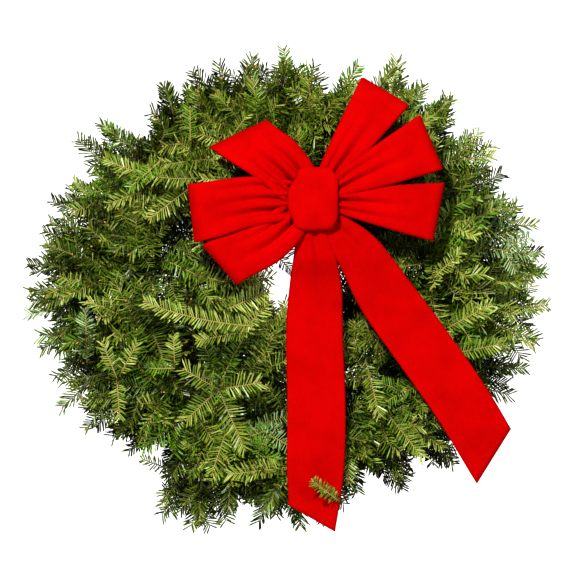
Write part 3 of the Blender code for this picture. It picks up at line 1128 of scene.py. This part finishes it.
    # These lie over the hole's and the edge's gaps, between the loops, or on a tail, uncut and unpressed.
    loose_sprays: tuple[Spray, ...] = (
        Spray((0.029, -0.213), (0.056, -0.234), 0.86, 0.0105, (0.092, 0.108)),
        Spray((0.028, -0.211), (0.056, -0.232), 0.72, 0.0090, (0.091, 0.106)),
        Spray((-0.160, -0.190), (-0.117, -0.206), 0.36, 0.0100, (0.030, 0.034)),
        Spray((-0.139, -0.240), (-0.118, -0.206), 0.34, 0.0100, (0.030, 0.034)),
        Spray((-0.120, -0.184), (-0.106, -0.208), 0.46, 0.0095, (0.034, 0.038)),
        Spray((-0.098, -0.260), (-0.108, -0.212), 0.30, 0.0100, (0.026, 0.030)),
        Spray((0.003, 0.018), (-0.030, 0.056), 0.40, 0.0100, (0.034, 0.036)),
        # These four sprays left of the hole carry the lightest olive shades, painted light where the low left
        # loop's shadow falls on them.
        Spray((-0.022, 0.026), (-0.072, 0.034), 0.78, 0.0165, (0.084, 0.092)),
        Spray((-0.020, 0.010), (-0.072, 0.006), 0.80, 0.0165, (0.084, 0.094)),
        Spray((-0.023, -0.006), (-0.066, -0.024), 0.80, 0.0165, (0.084, 0.094)),
        Spray((-0.022, -0.018), (-0.056, -0.056), 0.78, 0.0165, (0.084, 0.092)),
        Spray((0.010, 0.168), (0.020, 0.126), 0.46, 0.0135, (0.074, 0.092)),
        Spray((0.030, 0.172), (0.026, 0.126), 0.40, 0.0135, (0.072, 0.086)),
        Spray((-0.004, 0.158), (0.010, 0.118), 0.36, 0.0135, (0.070, 0.080)),
        Spray((-0.004, -0.018), (0.010, -0.070), 0.66, 0.0150, (0.070, 0.076)),
        Spray((-0.092, 0.118), (-0.022, 0.112), 0.60, 0.0125, (0.086, 0.100)),
        Spray((-0.080, 0.134), (-0.012, 0.114), 0.56, 0.0115, (0.082, 0.098)),
        Spray((0.082, 0.046), (0.136, 0.044), 0.52, 0.0135, (0.074, 0.080)),
        Spray((0.098, 0.018), (0.150, 0.026), 0.48, 0.0135, (0.074, 0.078)),
        Spray((0.116, 0.056), (0.165, 0.064), 0.50, 0.0135, (0.074, 0.080)),
    )

    def __post_init__(self) -> None:
        """Starts the wreath's own source of small differences."""
        self.rng = random.Random(24)

    def outline(self, degrees: float) -> float:
        """How far the foliage reaches at an angle.

        Args:
            degrees: anticlockwise from the right.

        Returns:
            Distance from the ring's centre, a little less between the edge tips than at them.
        """
        degrees %= 360
        tips = [*self.edge_tips, (self.edge_tips[0][0] + 360, self.edge_tips[0][1])]
        if degrees < tips[0][0]:
            degrees += 360
        for (low, near), (high, far) in zip(tips, tips[1:]):
            if low <= degrees <= high:
                share = (degrees - low) / (high - low)
                valley = self.valley * math.sin(math.pi * share) * min(1.0, (high - low) / 8.0)
                return near + (far - near) * share - valley
        return tips[0][1]

    def middle_angle(self, row: Row, index: int) -> float:
        """Angle of a bunch's middle, anticlockwise from the right."""
        return self.first_angle + 360.0 * (index + 0.5) / self.counts[row]

    def spread(self, row: Row, count: int) -> list[float]:
        """Turns from a bunch's middle that spread its fronds evenly from side to side."""
        return [180.0 / self.counts[row] * (2.0 * step / (count - 1) - 1.0) for step in range(count)]

    @staticmethod
    def fringe(degrees: float) -> float:
        """How much further into the hole the growth reaches at its lower left than at its upper right."""
        return 0.024 + 0.014 * math.cos(math.radians(degrees - 205.0))

    @staticmethod
    def swelled(place: Vector) -> Vector:
        """The place moved forward where the growth comes up to meet the bow's back."""
        across, up = place.x - 0.03, place.z - RING_MIDDLE_UP - 0.10
        return place + Vector((0.0, -0.020 * math.exp(-(across * across + up * up) / 0.011), 0.0))

    @staticmethod
    def tone(place: Vector) -> float:
        """How light the growth is at a place: painted shade makes it darker behind, and it is darker at the
        left and at the very bottom.

        Args:
            place: middle of a frond.

        Returns:
            A place in the palette.
        """
        across, forward, up = place.x, -place.y, place.z - RING_MIDDLE_UP
        at_edge = smooth((math.hypot(across, up) - 0.19) / 0.05)
        # Painted shade: growth further back is darker, except out at the edge.
        front = max(smooth((forward + 0.01) / 0.09), 0.62 * at_edge)
        low_left = min(1.0, max(0.0, 0.5 - 1.1 * up + (0.0 if across > 0 else 0.1)))
        bottom = max(0.0, -up - 0.12)
        return 0.05 + 0.48 * front + 0.06 * low_left + 0.46 * across + 0.32 * up - 0.9 * bottom

    def kind(self, shade: float) -> float:
        """Shade of a frond, which now and then is a fresh bright green or shows its silvery side.

        Args:
            shade: what it would be otherwise.

        Returns:
            A place in the palette.
        """
        luck = self.rng.random()
        if luck < self.fresh_share:
            return self.rng.uniform(0.85, 0.90)
        if luck < self.fresh_share + self.silvery_share:
            return self.rng.uniform(0.95, 0.98)
        return min(LIGHTEST, max(0.02, shade))

    def frond(self, start: Vector, tip: Vector, lift: float, growth: Growth) -> list[Twig]:
        """Grows one frond by rule.

        Args:
            start: base of its leading twig.
            tip: its tip.
            lift: how far its middle arches forward.
            growth: the set it belongs to.

        Returns:
            Its twigs.
        """
        rng = self.rng
        tilt = growth.tilt
        facing = Vector((rng.uniform(-tilt, tilt), -1.0, rng.uniform(-tilt, tilt) + 0.12)).normalized()
        # The set's deeper value darkens it as painted shade.
        shade = self.tone((start + tip) / 2) - growth.deeper + rng.gauss(0.0, self.shade_scatter)
        side = (tip - start).cross(Vector((0, 1, 0))) * rng.uniform(-0.16, 0.16)
        grown = Frond(
            start,
            tip,
            facing,
            self.kind(shade),
            lift=Vector((0.0, -lift, 0.0)) + side,
            needle=rng.uniform(*self.needle_lengths),
            bare=growth.bare,
            year=rng.uniform(*self.years),
            most_side=growth.most_side,
            depth=2 if rng.random() < self.forked_share else 1,
        )
        return grown.twigs(rng)

    def outer(self, index: int) -> list[Twig]:
        """Grows an outer bunch: fronds to the edge tips, backing fronds along the ring, and the edge between.

        Args:
            index: number of the bunch in its row.

        Returns:
            Its twigs.
        """
        draw = self.rng.uniform
        middle = self.middle_angle(Row.OUTER, index)
        half = 180.0 / self.counts[Row.OUTER]
        twigs = []
        edge = self.edge_growth
        for angle, radius in self.edge_tips:
            off = (angle - middle + 180) % 360 - 180
            if abs(off) > half:
                continue
            base = around(middle + off * 0.45, RING_RADIUS + self.outer_base, draw(*edge.base_forward))
            tip = around(angle, radius - 0.004, draw(*edge.tip_forward))
            twigs += self.frond(base, tip, draw(*edge.lift), edge)
        backing = self.backing_growth
        for off in self.spread(Row.OUTER, backing.fronds):
            way = self.rng.choice((-1, 1)) * draw(*backing.swing)
            base = around(middle + off, draw(*backing.base_out), draw(*backing.base_forward))
            tip = around(middle + off + way, draw(*backing.tip_out), draw(*backing.tip_forward))
            twigs += self.frond(base, tip, backing.lift[0], backing)
        under = self.under_growth
        for off in self.spread(Row.OUTER, under.fronds):
            off += draw(*under.turn)
            share = self.rng.random()
            start = middle + off * 0.5 + draw(*under.swing)
            low, high = under.base_forward
            base = around(start, RING_RADIUS + draw(*under.base_out), low + (high - low) * share)
            low, high = under.tip_forward
            radius = self.outline(middle + off) * draw(*under.tip_out)
            tip = around(middle + off, radius, low + (high - low) * share)
            twigs += self.frond(base, tip, draw(*under.lift), under)
        return twigs

    def front(self, index: int) -> list[Twig]:
        """Grows a front bunch: fronds that lean out over the outer row, and some that cross them.

        Args:
            index: number of the bunch in its row.

        Returns:
            Its twigs.
        """
        draw = self.rng.uniform
        middle = self.middle_angle(Row.FRONT, index)
        twigs = []
        leaning = self.leaning_growth
        for off in self.spread(Row.FRONT, leaning.fronds):
            off += draw(*leaning.turn)
            base = around(middle + off, RING_RADIUS + draw(*leaning.base_out), draw(*leaning.base_forward))
            radius = self.front_reaches[index] * draw(*leaning.tip_out)
            forward = draw(*leaning.tip_forward) - 0.25 * max(0.0, radius - 0.22)
            tip = self.swelled(around(middle + off + draw(*leaning.swing), radius, forward))
            twigs += self.frond(base, tip, draw(*leaning.lift), leaning)
        crossing = self.crossing_growth
        for off in self.spread(Row.FRONT, crossing.fronds):
            angle = middle + off * self.crossing_spread
            swing = self.rng.choice((-1, 1)) * draw(*crossing.swing)
            base = around(angle, draw(*crossing.base_out), draw(*crossing.base_forward))
            tip = around(angle + swing, draw(*crossing.tip_out), draw(*crossing.tip_forward))
            twigs += self.frond(base, self.swelled(tip), crossing.lift[0], crossing)
        return twigs

    def crown(self, index: int) -> list[Twig]:
        """Grows a crown bunch, which leans in over the inner row.

        Args:
            index: number of the bunch in its row.

        Returns:
            Its twigs.
        """
        draw = self.rng.uniform
        middle = self.middle_angle(Row.CROWN, index)
        twigs = []
        crown = self.crown_growth
        for off in self.spread(Row.CROWN, crown.fronds):
            off += draw(*crown.turn)
            base = around(middle + off, RING_RADIUS + draw(*crown.base_out), draw(*crown.base_forward))
            near = self.crown_reaches[index] - self.fringe(middle + off)
            turn = middle + off + draw(*crown.swing)
            tip = self.swelled(around(turn, near + draw(*crown.tip_out), draw(*crown.tip_forward)))
            twigs += self.frond(base, tip, draw(*crown.lift), crown)
        return twigs

    def inner(self, index: int) -> list[Twig]:
        """Grows an inner bunch, whose tips frame the hole.

        Args:
            index: number of the bunch in its row.

        Returns:
            Its twigs.
        """
        draw = self.rng.uniform
        middle = self.middle_angle(Row.INNER, index)
        twigs = []
        hole = self.hole_growth
        for off in self.spread(Row.INNER, hole.fronds):
            off += draw(*hole.turn)
            base = around(middle + off, RING_RADIUS - draw(*hole.base_out), draw(*hole.base_forward))
            near = max(0.024, self.inner_reaches[index] - self.fringe(middle + off))
            tip = around(middle + off, near + draw(*hole.tip_out), draw(*hole.tip_forward))
            twigs += self.frond(base, tip, draw(*hole.lift), hole)
        return twigs

    def placed(self, spray: Spray) -> list[Twig]:
        """Grows a listed spray and the bare twig that carries it.

        Args:
            spray: where it lies.

        Returns:
            Its twigs.
        """
        rng = self.rng
        start = at(spray.base[0], spray.forward[0], spray.base[1])
        tip = at(spray.tip[0], spray.forward[1], spray.tip[1])
        way = tip - start
        facing = Vector((rng.uniform(-0.12, 0.12), -1.0, 0.15)).normalized()
        lift = way.cross(Vector((0, 1, 0))).normalized() * spray.bend + Vector((0.0, -0.004, 0.0))
        leader = Frond(start, tip, facing, spray.shade, lift, spray.needle, bare=0.02, depth=0)
        angle = math.degrees(math.atan2(spray.base[1], spray.base[0]))
        behind = Vector((0.0, self.carrier_arch, 0.0)) - way.normalized() * 0.012
        carrier = arched(around(angle, RING_RADIUS, 0.020), start, behind, 0.008)
        bare_twig = Twig(carrier, facing, 0.1, bare=1.0, thick=0.0014, bud=0.0)
        return [*leader.twigs(rng), bare_twig]

    def bunch_of(self, spray: Spray) -> tuple[Row, int]:
        """Finds the bunch that a listed spray was cut with.

        Args:
            spray: where it lies.

        Returns:
            The bunch's row and number.
        """
        row = Row.FRONT if math.hypot(*spray.base) > RING_RADIUS * 0.8 else Row.CROWN
        angle = math.degrees(math.atan2(spray.base[1], spray.base[0]))
        count = self.counts[row]
        return row, int(((angle - self.first_angle) % 360) * count / 360) % count

    def in_notch(self, across: float, up: float) -> bool:
        """Tells whether a place lies in a gap of the edge.

        Args:
            across: place to the right of the ring's centre.
            up: place above the ring's centre.

        Returns:
            Whether it does.
        """
        degrees = math.degrees(math.atan2(up, across))
        radius = math.hypot(across, up)
        for angle, half, bottom in self.notches:
            off = abs((degrees - angle + 180) % 360 - 180) / half
            if off < 1.0 and radius > bottom + (self.outline(angle) + 0.012 - bottom) * off**1.5:
                return True
        return False

    def clipped(self, twig: Twig) -> Twig:
        """Cuts a twig back to where it would enter the hole or a gap of the edge.

        Args:
            twig: the twig, which is changed.

        Returns:
            The same twig.
        """
        for number, point in enumerate(twig.points):
            up = point.z - RING_MIDDLE_UP
            in_x = (point.x - self.hole_middle[0]) / self.hole_half[0]
            in_z = (up - self.hole_middle[1]) / self.hole_half[1]
            if math.hypot(in_x, in_z) < 1.0 or self.in_notch(point.x, up):
                twig.points = twig.points[:number]
                break
        return twig

    def stem(self, row: Row, index: int) -> Twig:
        """Lays a bunch's cut stem along the ring, under the binding wire.

        Args:
            row: the bunch's row.
            index: its number in the row.

        Returns:
            The bare stem.
        """
        middle = self.middle_angle(row, index)
        outward = 0.005 if row in (Row.OUTER, Row.FRONT) else -0.005
        forward = 0.002 if row in (Row.OUTER, Row.INNER) else 0.006
        points = [around(middle + turn, RING_RADIUS + outward, forward) for turn in (-13, -9, -5, -1, 2)]
        return Twig(points, Vector((0.0, -1.0, 0.0)), 0.1, bare=1.0, thick=0.0022, bud=0.0)

    def make(self, dresser: TwigDresser, bow: "VelvetBow") -> list[bpy.types.Object]:
        """Builds every bunch.

        Args:
            dresser: turns twigs into needles, bark and buds.
            bow: the bow that presses the growth back.

        Returns:
            The finished bunches.
        """
        growers = {Row.OUTER: self.outer, Row.FRONT: self.front, Row.CROWN: self.crown, Row.INNER: self.inner}
        bunches: dict[tuple[Row, int], list[Twig]] = {}
        for row, grower in growers.items():
            for index in range(self.counts[row]):
                bunches[row, index] = [self.stem(row, index), *grower(index)]
        for spray in self.sprays:
            bunches[self.bunch_of(spray)] += self.placed(spray)
        for key, twigs in bunches.items():
            bunches[key] = [twig for twig in map(self.clipped, twigs) if len(twig.points) > 1]
            for twig in bunches[key]:
                for point in twig.points:
                    point.y = max(point.y, -bow.room_behind(point.x, point.z - RING_MIDDLE_UP))
        for spray in self.loose_sprays:
            bunches[self.bunch_of(spray)] += self.placed(spray)
        pieces = []
        for seed, ((row, index), twigs) in enumerate(bunches.items()):
            number = f"{index + 1:02d}"
            piece = dresser.dress(f"fir_{row.value}_{number}", twigs, seed)
            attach(piece, BODY)
            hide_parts(f"{row.value}_bunch_{number}")
            LOG.info("%s: %d twigs, %d faces", piece.name, len(twigs), len(piece.data.polygons))
            pieces.append(piece)
        return pieces


@dataclass(frozen=True)
class Loop:
    """One loop of the bow, measured from the knot's centre.

    The rise and the drop are how far its front and back stand off the knot's middle, the slant is how
    far its fold runs out to one side, the bend is how far its middle sways, the pinch is its width in
    the knot, and a lower flare widens it sooner.
    """

    name: str
    angle: float
    reach: float
    width: float
    rise: float
    drop: float
    slant: float
    creases: tuple[Crease, ...]
    bend: float = 0.0
    pinch: float = 0.016
    flare: float = 0.74


@dataclass(frozen=True)
class Tail:
    """One hanging tail of the bow: middle line and width at each point, from the ring's centre."""

    name: str
    line: tuple[tuple[float, float, float, float], ...]
    slant: float
    creases: tuple[Crease, ...]


@dataclass
class VelvetBow:
    """Six-loop bow of one velvet ribbon, tied at the middle, with two tails."""

    ribbon_width: float = 0.0635
    thick: float = 0.0012
    turn_radius: float = 0.0022
    crown: float = 0.0045
    crease_fade: float = 2.6
    press: float = 0.014
    columns: int = 41
    loop_steps: int = 9
    tail_steps: int = 12
    fold: float = 0.0042
    knot_centre: tuple[float, float, float] = (0.0270, 0.122, 0.0955)
    knot_half: tuple[float, float, float] = (0.0275, 0.017, 0.035)
    knot_rounds: int = 96
    knot_columns: int = 33
    knot_squareness: float = 6.0
    loops: tuple[Loop, ...] = (
        Loop(
            "ribbon_loop_top_right", 56.0, 0.1415, 0.059, 0.012, 0.010, -0.0015,
            ((-0.30, 0.013, 0.26), (0.35, 0.006, 0.16)), pinch=0.018,
        ),
        Loop(
            "ribbon_loop_right", 25.7, 0.143, 0.0635, 0.013, 0.012, 0.0015,
            ((-0.15, 0.012, 0.24), (0.50, 0.008, 0.18)), flare=0.78,
        ),
        Loop(
            "ribbon_loop_low_right", -5.8, 0.1375, 0.0635, 0.010, 0.014, 0.003,
            ((0.10, 0.012, 0.22), (-0.55, 0.007, 0.18)), pinch=0.018, flare=0.80,
        ),
        Loop(
            "ribbon_loop_top_left", 138.6, 0.108, 0.063, 0.016, 0.014, 0.0135,
            ((0.22, 0.019, 0.20), (-0.32, 0.014, 0.16), (0.66, 0.009, 0.12)),
            bend=-0.005, pinch=0.045, flare=0.50,
        ),
        Loop(
            "ribbon_loop_left", 186.6, 0.133, 0.0635, 0.017, 0.010, 0.0,
            ((0.46, 0.017, 0.18), (-0.06, 0.013, 0.16), (-0.60, 0.012, 0.16)),
            bend=-0.005, pinch=0.038, flare=0.60,
        ),
        Loop(
            "ribbon_loop_low_left", 215.4, 0.124, 0.057, 0.013, 0.014, -0.003,
            ((0.20, 0.015, 0.20), (-0.45, 0.010, 0.16)), bend=0.009, pinch=0.032, flare=0.55,
        ),
    )
    tails: tuple[Tail, ...] = (
        Tail(
            "ribbon_tail_left",
            (
                (0.026, 0.126, 0.070, 0.028), (0.026, 0.125, 0.058, 0.034), (0.029, 0.118, 0.030, 0.046),
                (0.030, 0.104, -0.005, 0.057), (0.029, 0.0985, -0.050, 0.061), (0.031, 0.096, -0.128, 0.063),
                (0.030, 0.093, -0.196, 0.062), (0.026, 0.090, -0.253, 0.052),
            ),
            0.0125,
            ((0.15, 0.006, 0.24), (-0.55, 0.005, 0.24)),
        ),
        Tail(
            "ribbon_tail_right",
            (
                (0.046, 0.122, 0.078, 0.030), (0.055, 0.122, 0.062, 0.036), (0.079, 0.115, 0.034, 0.050),
                (0.108, 0.104, -0.012, 0.061), (0.143, 0.0985, -0.060, 0.063), (0.188, 0.096, -0.124, 0.063),
                (0.225, 0.090, -0.185, 0.062),
            ),
            -0.016,
            ((0.1, 0.007, 0.28),),
        ),
    )

    def room_behind(self, across: float, up: float) -> float:
        """How far forward growth may lie at a place, so that its needles stay behind the ribbon.

        Args:
            across: place to the right of the ring's centre.
            up: place above the ring's centre.

        Returns:
            The greatest forward place, or infinity beside the ribbon.
        """
        room = math.inf
        for plan in self.tails:
            for (x, near, z, _), (next_x, far, next_z, width) in zip(plan.line, plan.line[1:]):
                way_x, way_z = next_x - x, next_z - z
                share = ((across - x) * way_x + (up - z) * way_z) / (way_x**2 + way_z**2)
                share = min(1.0, max(0.0, share))
                if math.hypot(across - x - way_x * share, up - z - way_z * share) < width / 2:
                    room = min(room, near + (far - near) * share - self.press)
        for plan in self.loops:
            turn = math.radians(plan.angle)
            from_knot, from_middle = across - self.knot_centre[0], up - self.knot_centre[2]
            out = from_knot * math.cos(turn) + from_middle * math.sin(turn)
            side = from_middle * math.cos(turn) - from_knot * math.sin(turn)
            if 0.0 < out < plan.reach and abs(side) < plan.width / 2:
                room = min(room, self.knot_centre[1] - plan.drop - 0.004 - self.press)
        return room

    def section(self, half: float) -> list[tuple[float, float]]:
        """Cross-section of the ribbon where it shows only part of its width.

        Args:
            half: half of the width that shows.

        Returns:
            For each column, how far it lies across and how far behind the face.
        """
        full = self.ribbon_width / 2
        radius = self.turn_radius
        low, high = 0.0, full
        for _ in range(30):
            flat = (low + high) / 2
            turned = min((full - flat) / radius, math.pi / 2)
            if flat + radius * math.sin(turned) < half:
                low = flat
            else:
                high = flat
        rest = max(1e-6, full - flat - math.pi * radius)
        squeeze = min(1.0, (half * 1.5) / rest)
        made = []
        for column in range(self.columns):
            offset = full * (2 * column / (self.columns - 1) - 1)
            side, far = (1 if offset >= 0 else -1), abs(offset)
            if far <= flat:
                made.append((offset, 0.0))
            elif far <= flat + math.pi * radius:
                turn = (far - flat) / radius
                made.append((side * (flat + radius * math.sin(turn)), radius * (1 - math.cos(turn))))
            else:
                back = (far - flat - math.pi * radius) * squeeze
                deeper = 0.0006 * (1 + side) * min(1.0, back / 0.004)
                made.append((side * (flat - back), 2 * radius + deeper))
        return made

    def thickened(self, sheet: bpy.types.Object, name: str, offset: float) -> bpy.types.Object:
        """Gives a sheet the ribbon's thickness.

        Args:
            sheet: the sheet, which is used up.
            name: name of the piece.
            offset: 0 for half to each side, -1 for all of it inwards.

        Returns:
            The finished plain mesh.
        """
        wall = sheet.modifiers.new("thickness", "SOLIDIFY")
        wall.thickness = self.thick
        wall.offset = offset
        return settled(sheet, name)

    def strip(
        self,
        name: str,
        line: list[Vector],
        widths: list[float],
        fronts: list[Vector],
        slants: list[Vector],
        creases: tuple[Crease, ...],
        softness: list[float],
    ) -> bpy.types.Object:
        """Ribbon that follows a line.

        Args:
            name: name of the piece.
            line: its middle line.
            widths: how much of its width shows at each point.
            fronts: the direction that its face looks at each point.
            slants: how far its anticlockwise or right edge is pulled at each point.
            creases: its creases, where they are deepest.
            softness: how strong the creases are at each point.

        Returns:
            The ribbon with its thickness.
        """
        points, faces = [], []
        stations = zip(line, directions(line), widths, fronts, slants, softness)
        for place, way, width, front, slant, soft in stations:
            across = front.cross(way).normalized()
            normal = way.cross(across).normalized()
            half = width / 2
            for offset, behind in self.section(half):
                share = offset / half
                dent = sum(deep * math.exp(-(((share - spot) / broad) ** 2)) for spot, deep, broad in creases)
                shaped = self.crown * (1 - share * share) * soft - dent * soft**self.crease_fade
                if behind >= self.turn_radius:
                    shaped = 0.0
                points.append(place + across * offset + normal * (shaped - behind) + slant * share)
        for row in range(len(line) - 1):
            for column in range(self.columns - 1):
                low = row * self.columns + column
                high = low + self.columns
                faces.append((low, low + 1, high + 1, high))
        ribbon = mesh_object(name, points, faces)
        ribbon.data.shade_smooth()
        return self.thickened(ribbon, name, 0.0)

    def loop(self, plan: Loop) -> tuple[bpy.types.Object, float]:
        """Builds one loop.

        Args:
            plan: its place and size.

        Returns:
            The loop and the ribbon's length in it.
        """
        turn = math.radians(plan.angle)
        outward = Vector((math.cos(turn), 0.0, math.sin(turn)))
        centre = at(*self.knot_centre)
        far, rise, drop, fold = plan.reach, plan.rise, plan.drop, self.fold
        out_in_front = (
            (0.006, 0.004), (0.30 * far, rise * 0.72), (0.62 * far, rise), (0.88 * far, rise * 0.62 - 0.001),
        )
        round_the_fold = (
            (far - 0.0045, rise * 0.22 + 0.001), (far, -fold * 0.6), (far - 0.0050, -2.2 * fold),
        )
        back_behind = (
            (0.85 * far, -drop * 0.7 - 0.0065), (0.60 * far, -drop - 0.005), (0.30 * far, -drop * 0.8),
            (0.008, -0.006),
        )
        route = [Vector((out, -lift, 0.0)) for out, lift in out_in_front + round_the_fold + back_behind]
        level = Vector((-outward.z, 0.0, outward.x))
        line = []
        for place in through(route, self.loop_steps):
            sway = plan.bend * math.sin(math.pi * smooth(place.x / far))
            line.append(centre + outward * place.x + level * sway + Vector((0.0, place.y, 0.0)))
        widths, fronts, slants, softness = [], [], [], []
        in_knot = 0.018
        for place, way in zip(line, directions(line)):
            out = (place - centre).dot(outward)
            share = min(1.0, max(0.0, (out - in_knot) / (far - in_knot)))
            widths.append(plan.pinch + (plan.width - plan.pinch) * share**plan.flare)
            fronts.append(level.cross(way).normalized() * -1.0)
            slants.append(outward * plan.slant * smooth((share - 0.2) / 0.8))
            softness.append(max(0.0, 1.0 - share) ** 0.7)
        ribbon = self.strip(plan.name, line, widths, fronts, slants, plan.creases, softness)
        return ribbon, lengths_along(line)[-1]

    def tail(self, plan: Tail) -> tuple[bpy.types.Object, float]:
        """Builds one tail.

        Args:
            plan: its line, widths and slanting cut.

        Returns:
            The tail and the ribbon's length in it.
        """
        line = through([at(*place) for *place, _ in plan.line], self.tail_steps)
        measures = through([Vector((width, 0.0, 0.0)) for *_, width in plan.line], self.tail_steps)
        widths = [min(self.ribbon_width, measure.x) for measure in measures]
        fronts = [Vector((0.0, -1.0, 0.0))] * len(line)
        run = lengths_along(line)
        shares = [here / run[-1] for here in run]
        pulls = [plan.slant * smooth((share - 0.8) / 0.2) for share in shares]
        slants = [way * pull for way, pull in zip(directions(line), pulls)]
        softness = [max(0.0, 1.0 - share / 0.55) ** 1.2 for share in shares]
        ribbon = self.strip(plan.name, line, widths, fronts, slants, plan.creases, softness)
        return ribbon, run[-1]

    def knot(self) -> tuple[bpy.types.Object, float]:
        """Builds the band round the middle.

        Returns:
            The band and its length round.
        """
        centre = at(*self.knot_centre)
        wide, deep, tall = self.knot_half
        rounds, columns, power = self.knot_rounds, self.knot_columns, self.knot_squareness
        points, faces = [], []
        for step in range(rounds):
            turn = 2 * math.pi * step / rounds
            ahead, above = math.cos(turn), math.sin(turn)
            radius = (abs(ahead) ** power + abs(above) ** power) ** (-1 / power)
            height = radius * above
            for column in range(columns):
                share = 2 * column / (columns - 1) - 1
                tight = 1.0 - 0.16 * abs(share) ** 9 - 0.04 * share * share
                ripple = 0.0005 * math.sin(3 * turn + 5 * share) * (1 - share * share)
                forward = (deep * tight + ripple) * radius * ahead
                # The left corners are cut off more than the right ones, and the top one the most.
                if share < 0:
                    cut = (0.36 if height > 0 else 0.22) * smooth((abs(height) - 0.25) / 0.7)
                else:
                    cut = 0.12 * smooth((abs(height) - 0.7) / 0.3)
                across = wide * share * (1.0 - cut)
                points.append(centre + Vector((across, -forward, tall * tight * height)))
        for step in range(rounds):
            after = (step + 1) % rounds
            for column in range(columns - 1):
                low, high = step * columns + column, after * columns + column
                faces.append((low, low + 1, high + 1, high))
        band = mesh_object("ribbon_knot", points, faces)
        band.data.shade_smooth()
        girth = 4 * (deep + tall) * 0.86
        return self.thickened(band, "ribbon_knot", -1.0), girth

    def make(self, velvet: bpy.types.Material) -> None:
        """Builds and dresses every piece of the bow.

        Args:
            velvet: the ribbon's finish.
        """
        made = [(*self.loop(plan), "gathered") for plan in self.loops]
        made += [(*self.tail(plan), "hung") for plan in self.tails]
        made.append((*self.knot(), "folded"))
        for piece, length, held in made:
            piece.data.materials.append(velvet)
            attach(piece, BODY)
            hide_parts(piece.name.replace("ribbon_", "bow_"))


@dataclass(frozen=True)
class Wires:
    """The steel ring, the binding wire and the bow's tie wire, kept as modelled."""

    ring: WireFinish = WireFinish("ring_enamel", (0.030, 0.075, 0.035), (0.20, 0.21, 0.20), 0.38)
    binding: WireFinish = WireFinish("binding_enamel", (0.040, 0.100, 0.045), (0.30, 0.31, 0.29), 0.42)

    def dress(self) -> None:
        """Gives each wire its finish."""
        finishes = {
            "wire_ring": self.ring.make(),
            "binding_wire": self.binding.make(),
        }
        finishes["bow_tie_wire"] = finishes["binding_wire"]
        for node, finish in finishes.items():
            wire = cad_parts[node]
            wire.data.materials.clear()
            wire.data.materials.append(finish)
            LOG.info("%s dressed", node)


@dataclass
class Studio:
    """Camera straight in front, soft lights, and a pale floor below."""

    camera_distance: float = 6.0
    sharp_plane: float = 0.05
    view_width: float = 0.6336
    middle_up: float = -0.1516
    floor_up: float = -0.95
    floor_half: float = 1.6
    glow: float = 0.03
    lamps: tuple[tuple[str, tuple[float, float, float], float, float], ...] = (
        ("key", (-0.7, -2.6, 1.45), 0.34, 104.0),
        ("fill", (1.5, -2.4, 0.6), 0.6, 18.0),
        ("back", (0.3, 2.2, 1.0), 1.4, 32.0),
    )

    def camera(self) -> None:
        """Sets the camera with a long lens."""
        data = bpy.data.cameras.new("front")
        data.sensor_width = 36.0
        data.lens = data.sensor_width * (self.camera_distance - self.sharp_plane) / self.view_width
        data.clip_end = 60.0
        eye = bpy.data.objects.new("front", data)
        eye.location = (0.0, -self.camera_distance, self.middle_up)
        eye.rotation_euler = (math.pi / 2, 0.0, 0.0)
        bpy.context.scene.collection.objects.link(eye)
        bpy.context.scene.camera = eye

    def lamp(self, name: str, place: tuple[float, float, float], size: float, power: float) -> None:
        """Hangs a soft light that faces the wreath.

        Args:
            name: the light's name.
            place: where it hangs.
            size: side of its square, in metres.
            power: watts.
        """
        data = bpy.data.lights.new(name, "AREA")
        data.size = size
        data.energy = power
        light = bpy.data.objects.new(name, data)
        light.location = place
        aim = Vector((0.0, 0.0, self.middle_up)) - Vector(place)
        light.rotation_euler = aim.to_track_quat("-Z", "Y").to_euler()
        light.visible_camera = False
        bpy.context.scene.collection.objects.link(light)

    def floor(self) -> None:
        """Lays a plain pale floor."""
        half, up = self.floor_half, self.floor_up
        corners = [Vector((x * half, y * half, up)) for x, y in ((-1, -1), (1, -1), (1, 1), (-1, 1))]
        slab = mesh_object("floor", corners, [(0, 1, 2, 3)])
        board = FinishBoard("pale_floor", 0.8)
        board.set("Base Color", (0.86, 0.86, 0.86, 1.0))
        slab.data.materials.append(board.material)

    def sky(self) -> None:
        """White surroundings that light the wreath softly."""
        world = bpy.data.worlds.new("white_room")
        bpy.context.scene.world = world
        world.use_nodes = True
        board = NodeBoard(world.node_tree)
        glow = world.node_tree.nodes["Background"]
        seen = board.add("ShaderNodeLightPath").outputs["Is Camera Ray"]
        strength = board.sum("MULTIPLY_ADD", seen, 1.0 - self.glow, self.glow)
        board.tree.links.new(strength, glow.inputs["Strength"])
        glow.inputs["Color"].default_value = (1.0, 1.0, 1.0, 1.0)

    def make(self) -> None:
        """Sets up the whole studio."""
        self.camera()
        for lamp in self.lamps:
            self.lamp(*lamp)
        self.sky()
        self.floor()
        bpy.context.scene.view_settings.view_transform = "Standard"
        bpy.context.scene.view_settings.look = "High Contrast"


def main() -> None:
    """Builds the studio, the wires, the foliage and the bow, and notes how big they are."""
    logging.basicConfig(level=logging.INFO, format="%(name)s: %(message)s")
    Studio().make()
    Wires().dress()
    dresser = TwigDresser(NeedleFinish().make(), BarkFinish().make())
    bow = VelvetBow()
    bunches = FirWreath().make(dresser, bow)
    dresser.put_away()
    LOG.info("%d bunches, %d faces", len(bunches), sum(len(piece.data.polygons) for piece in bunches))
    bow.make(VelvetFinish().make())


if __name__ == "__main__":
    main()
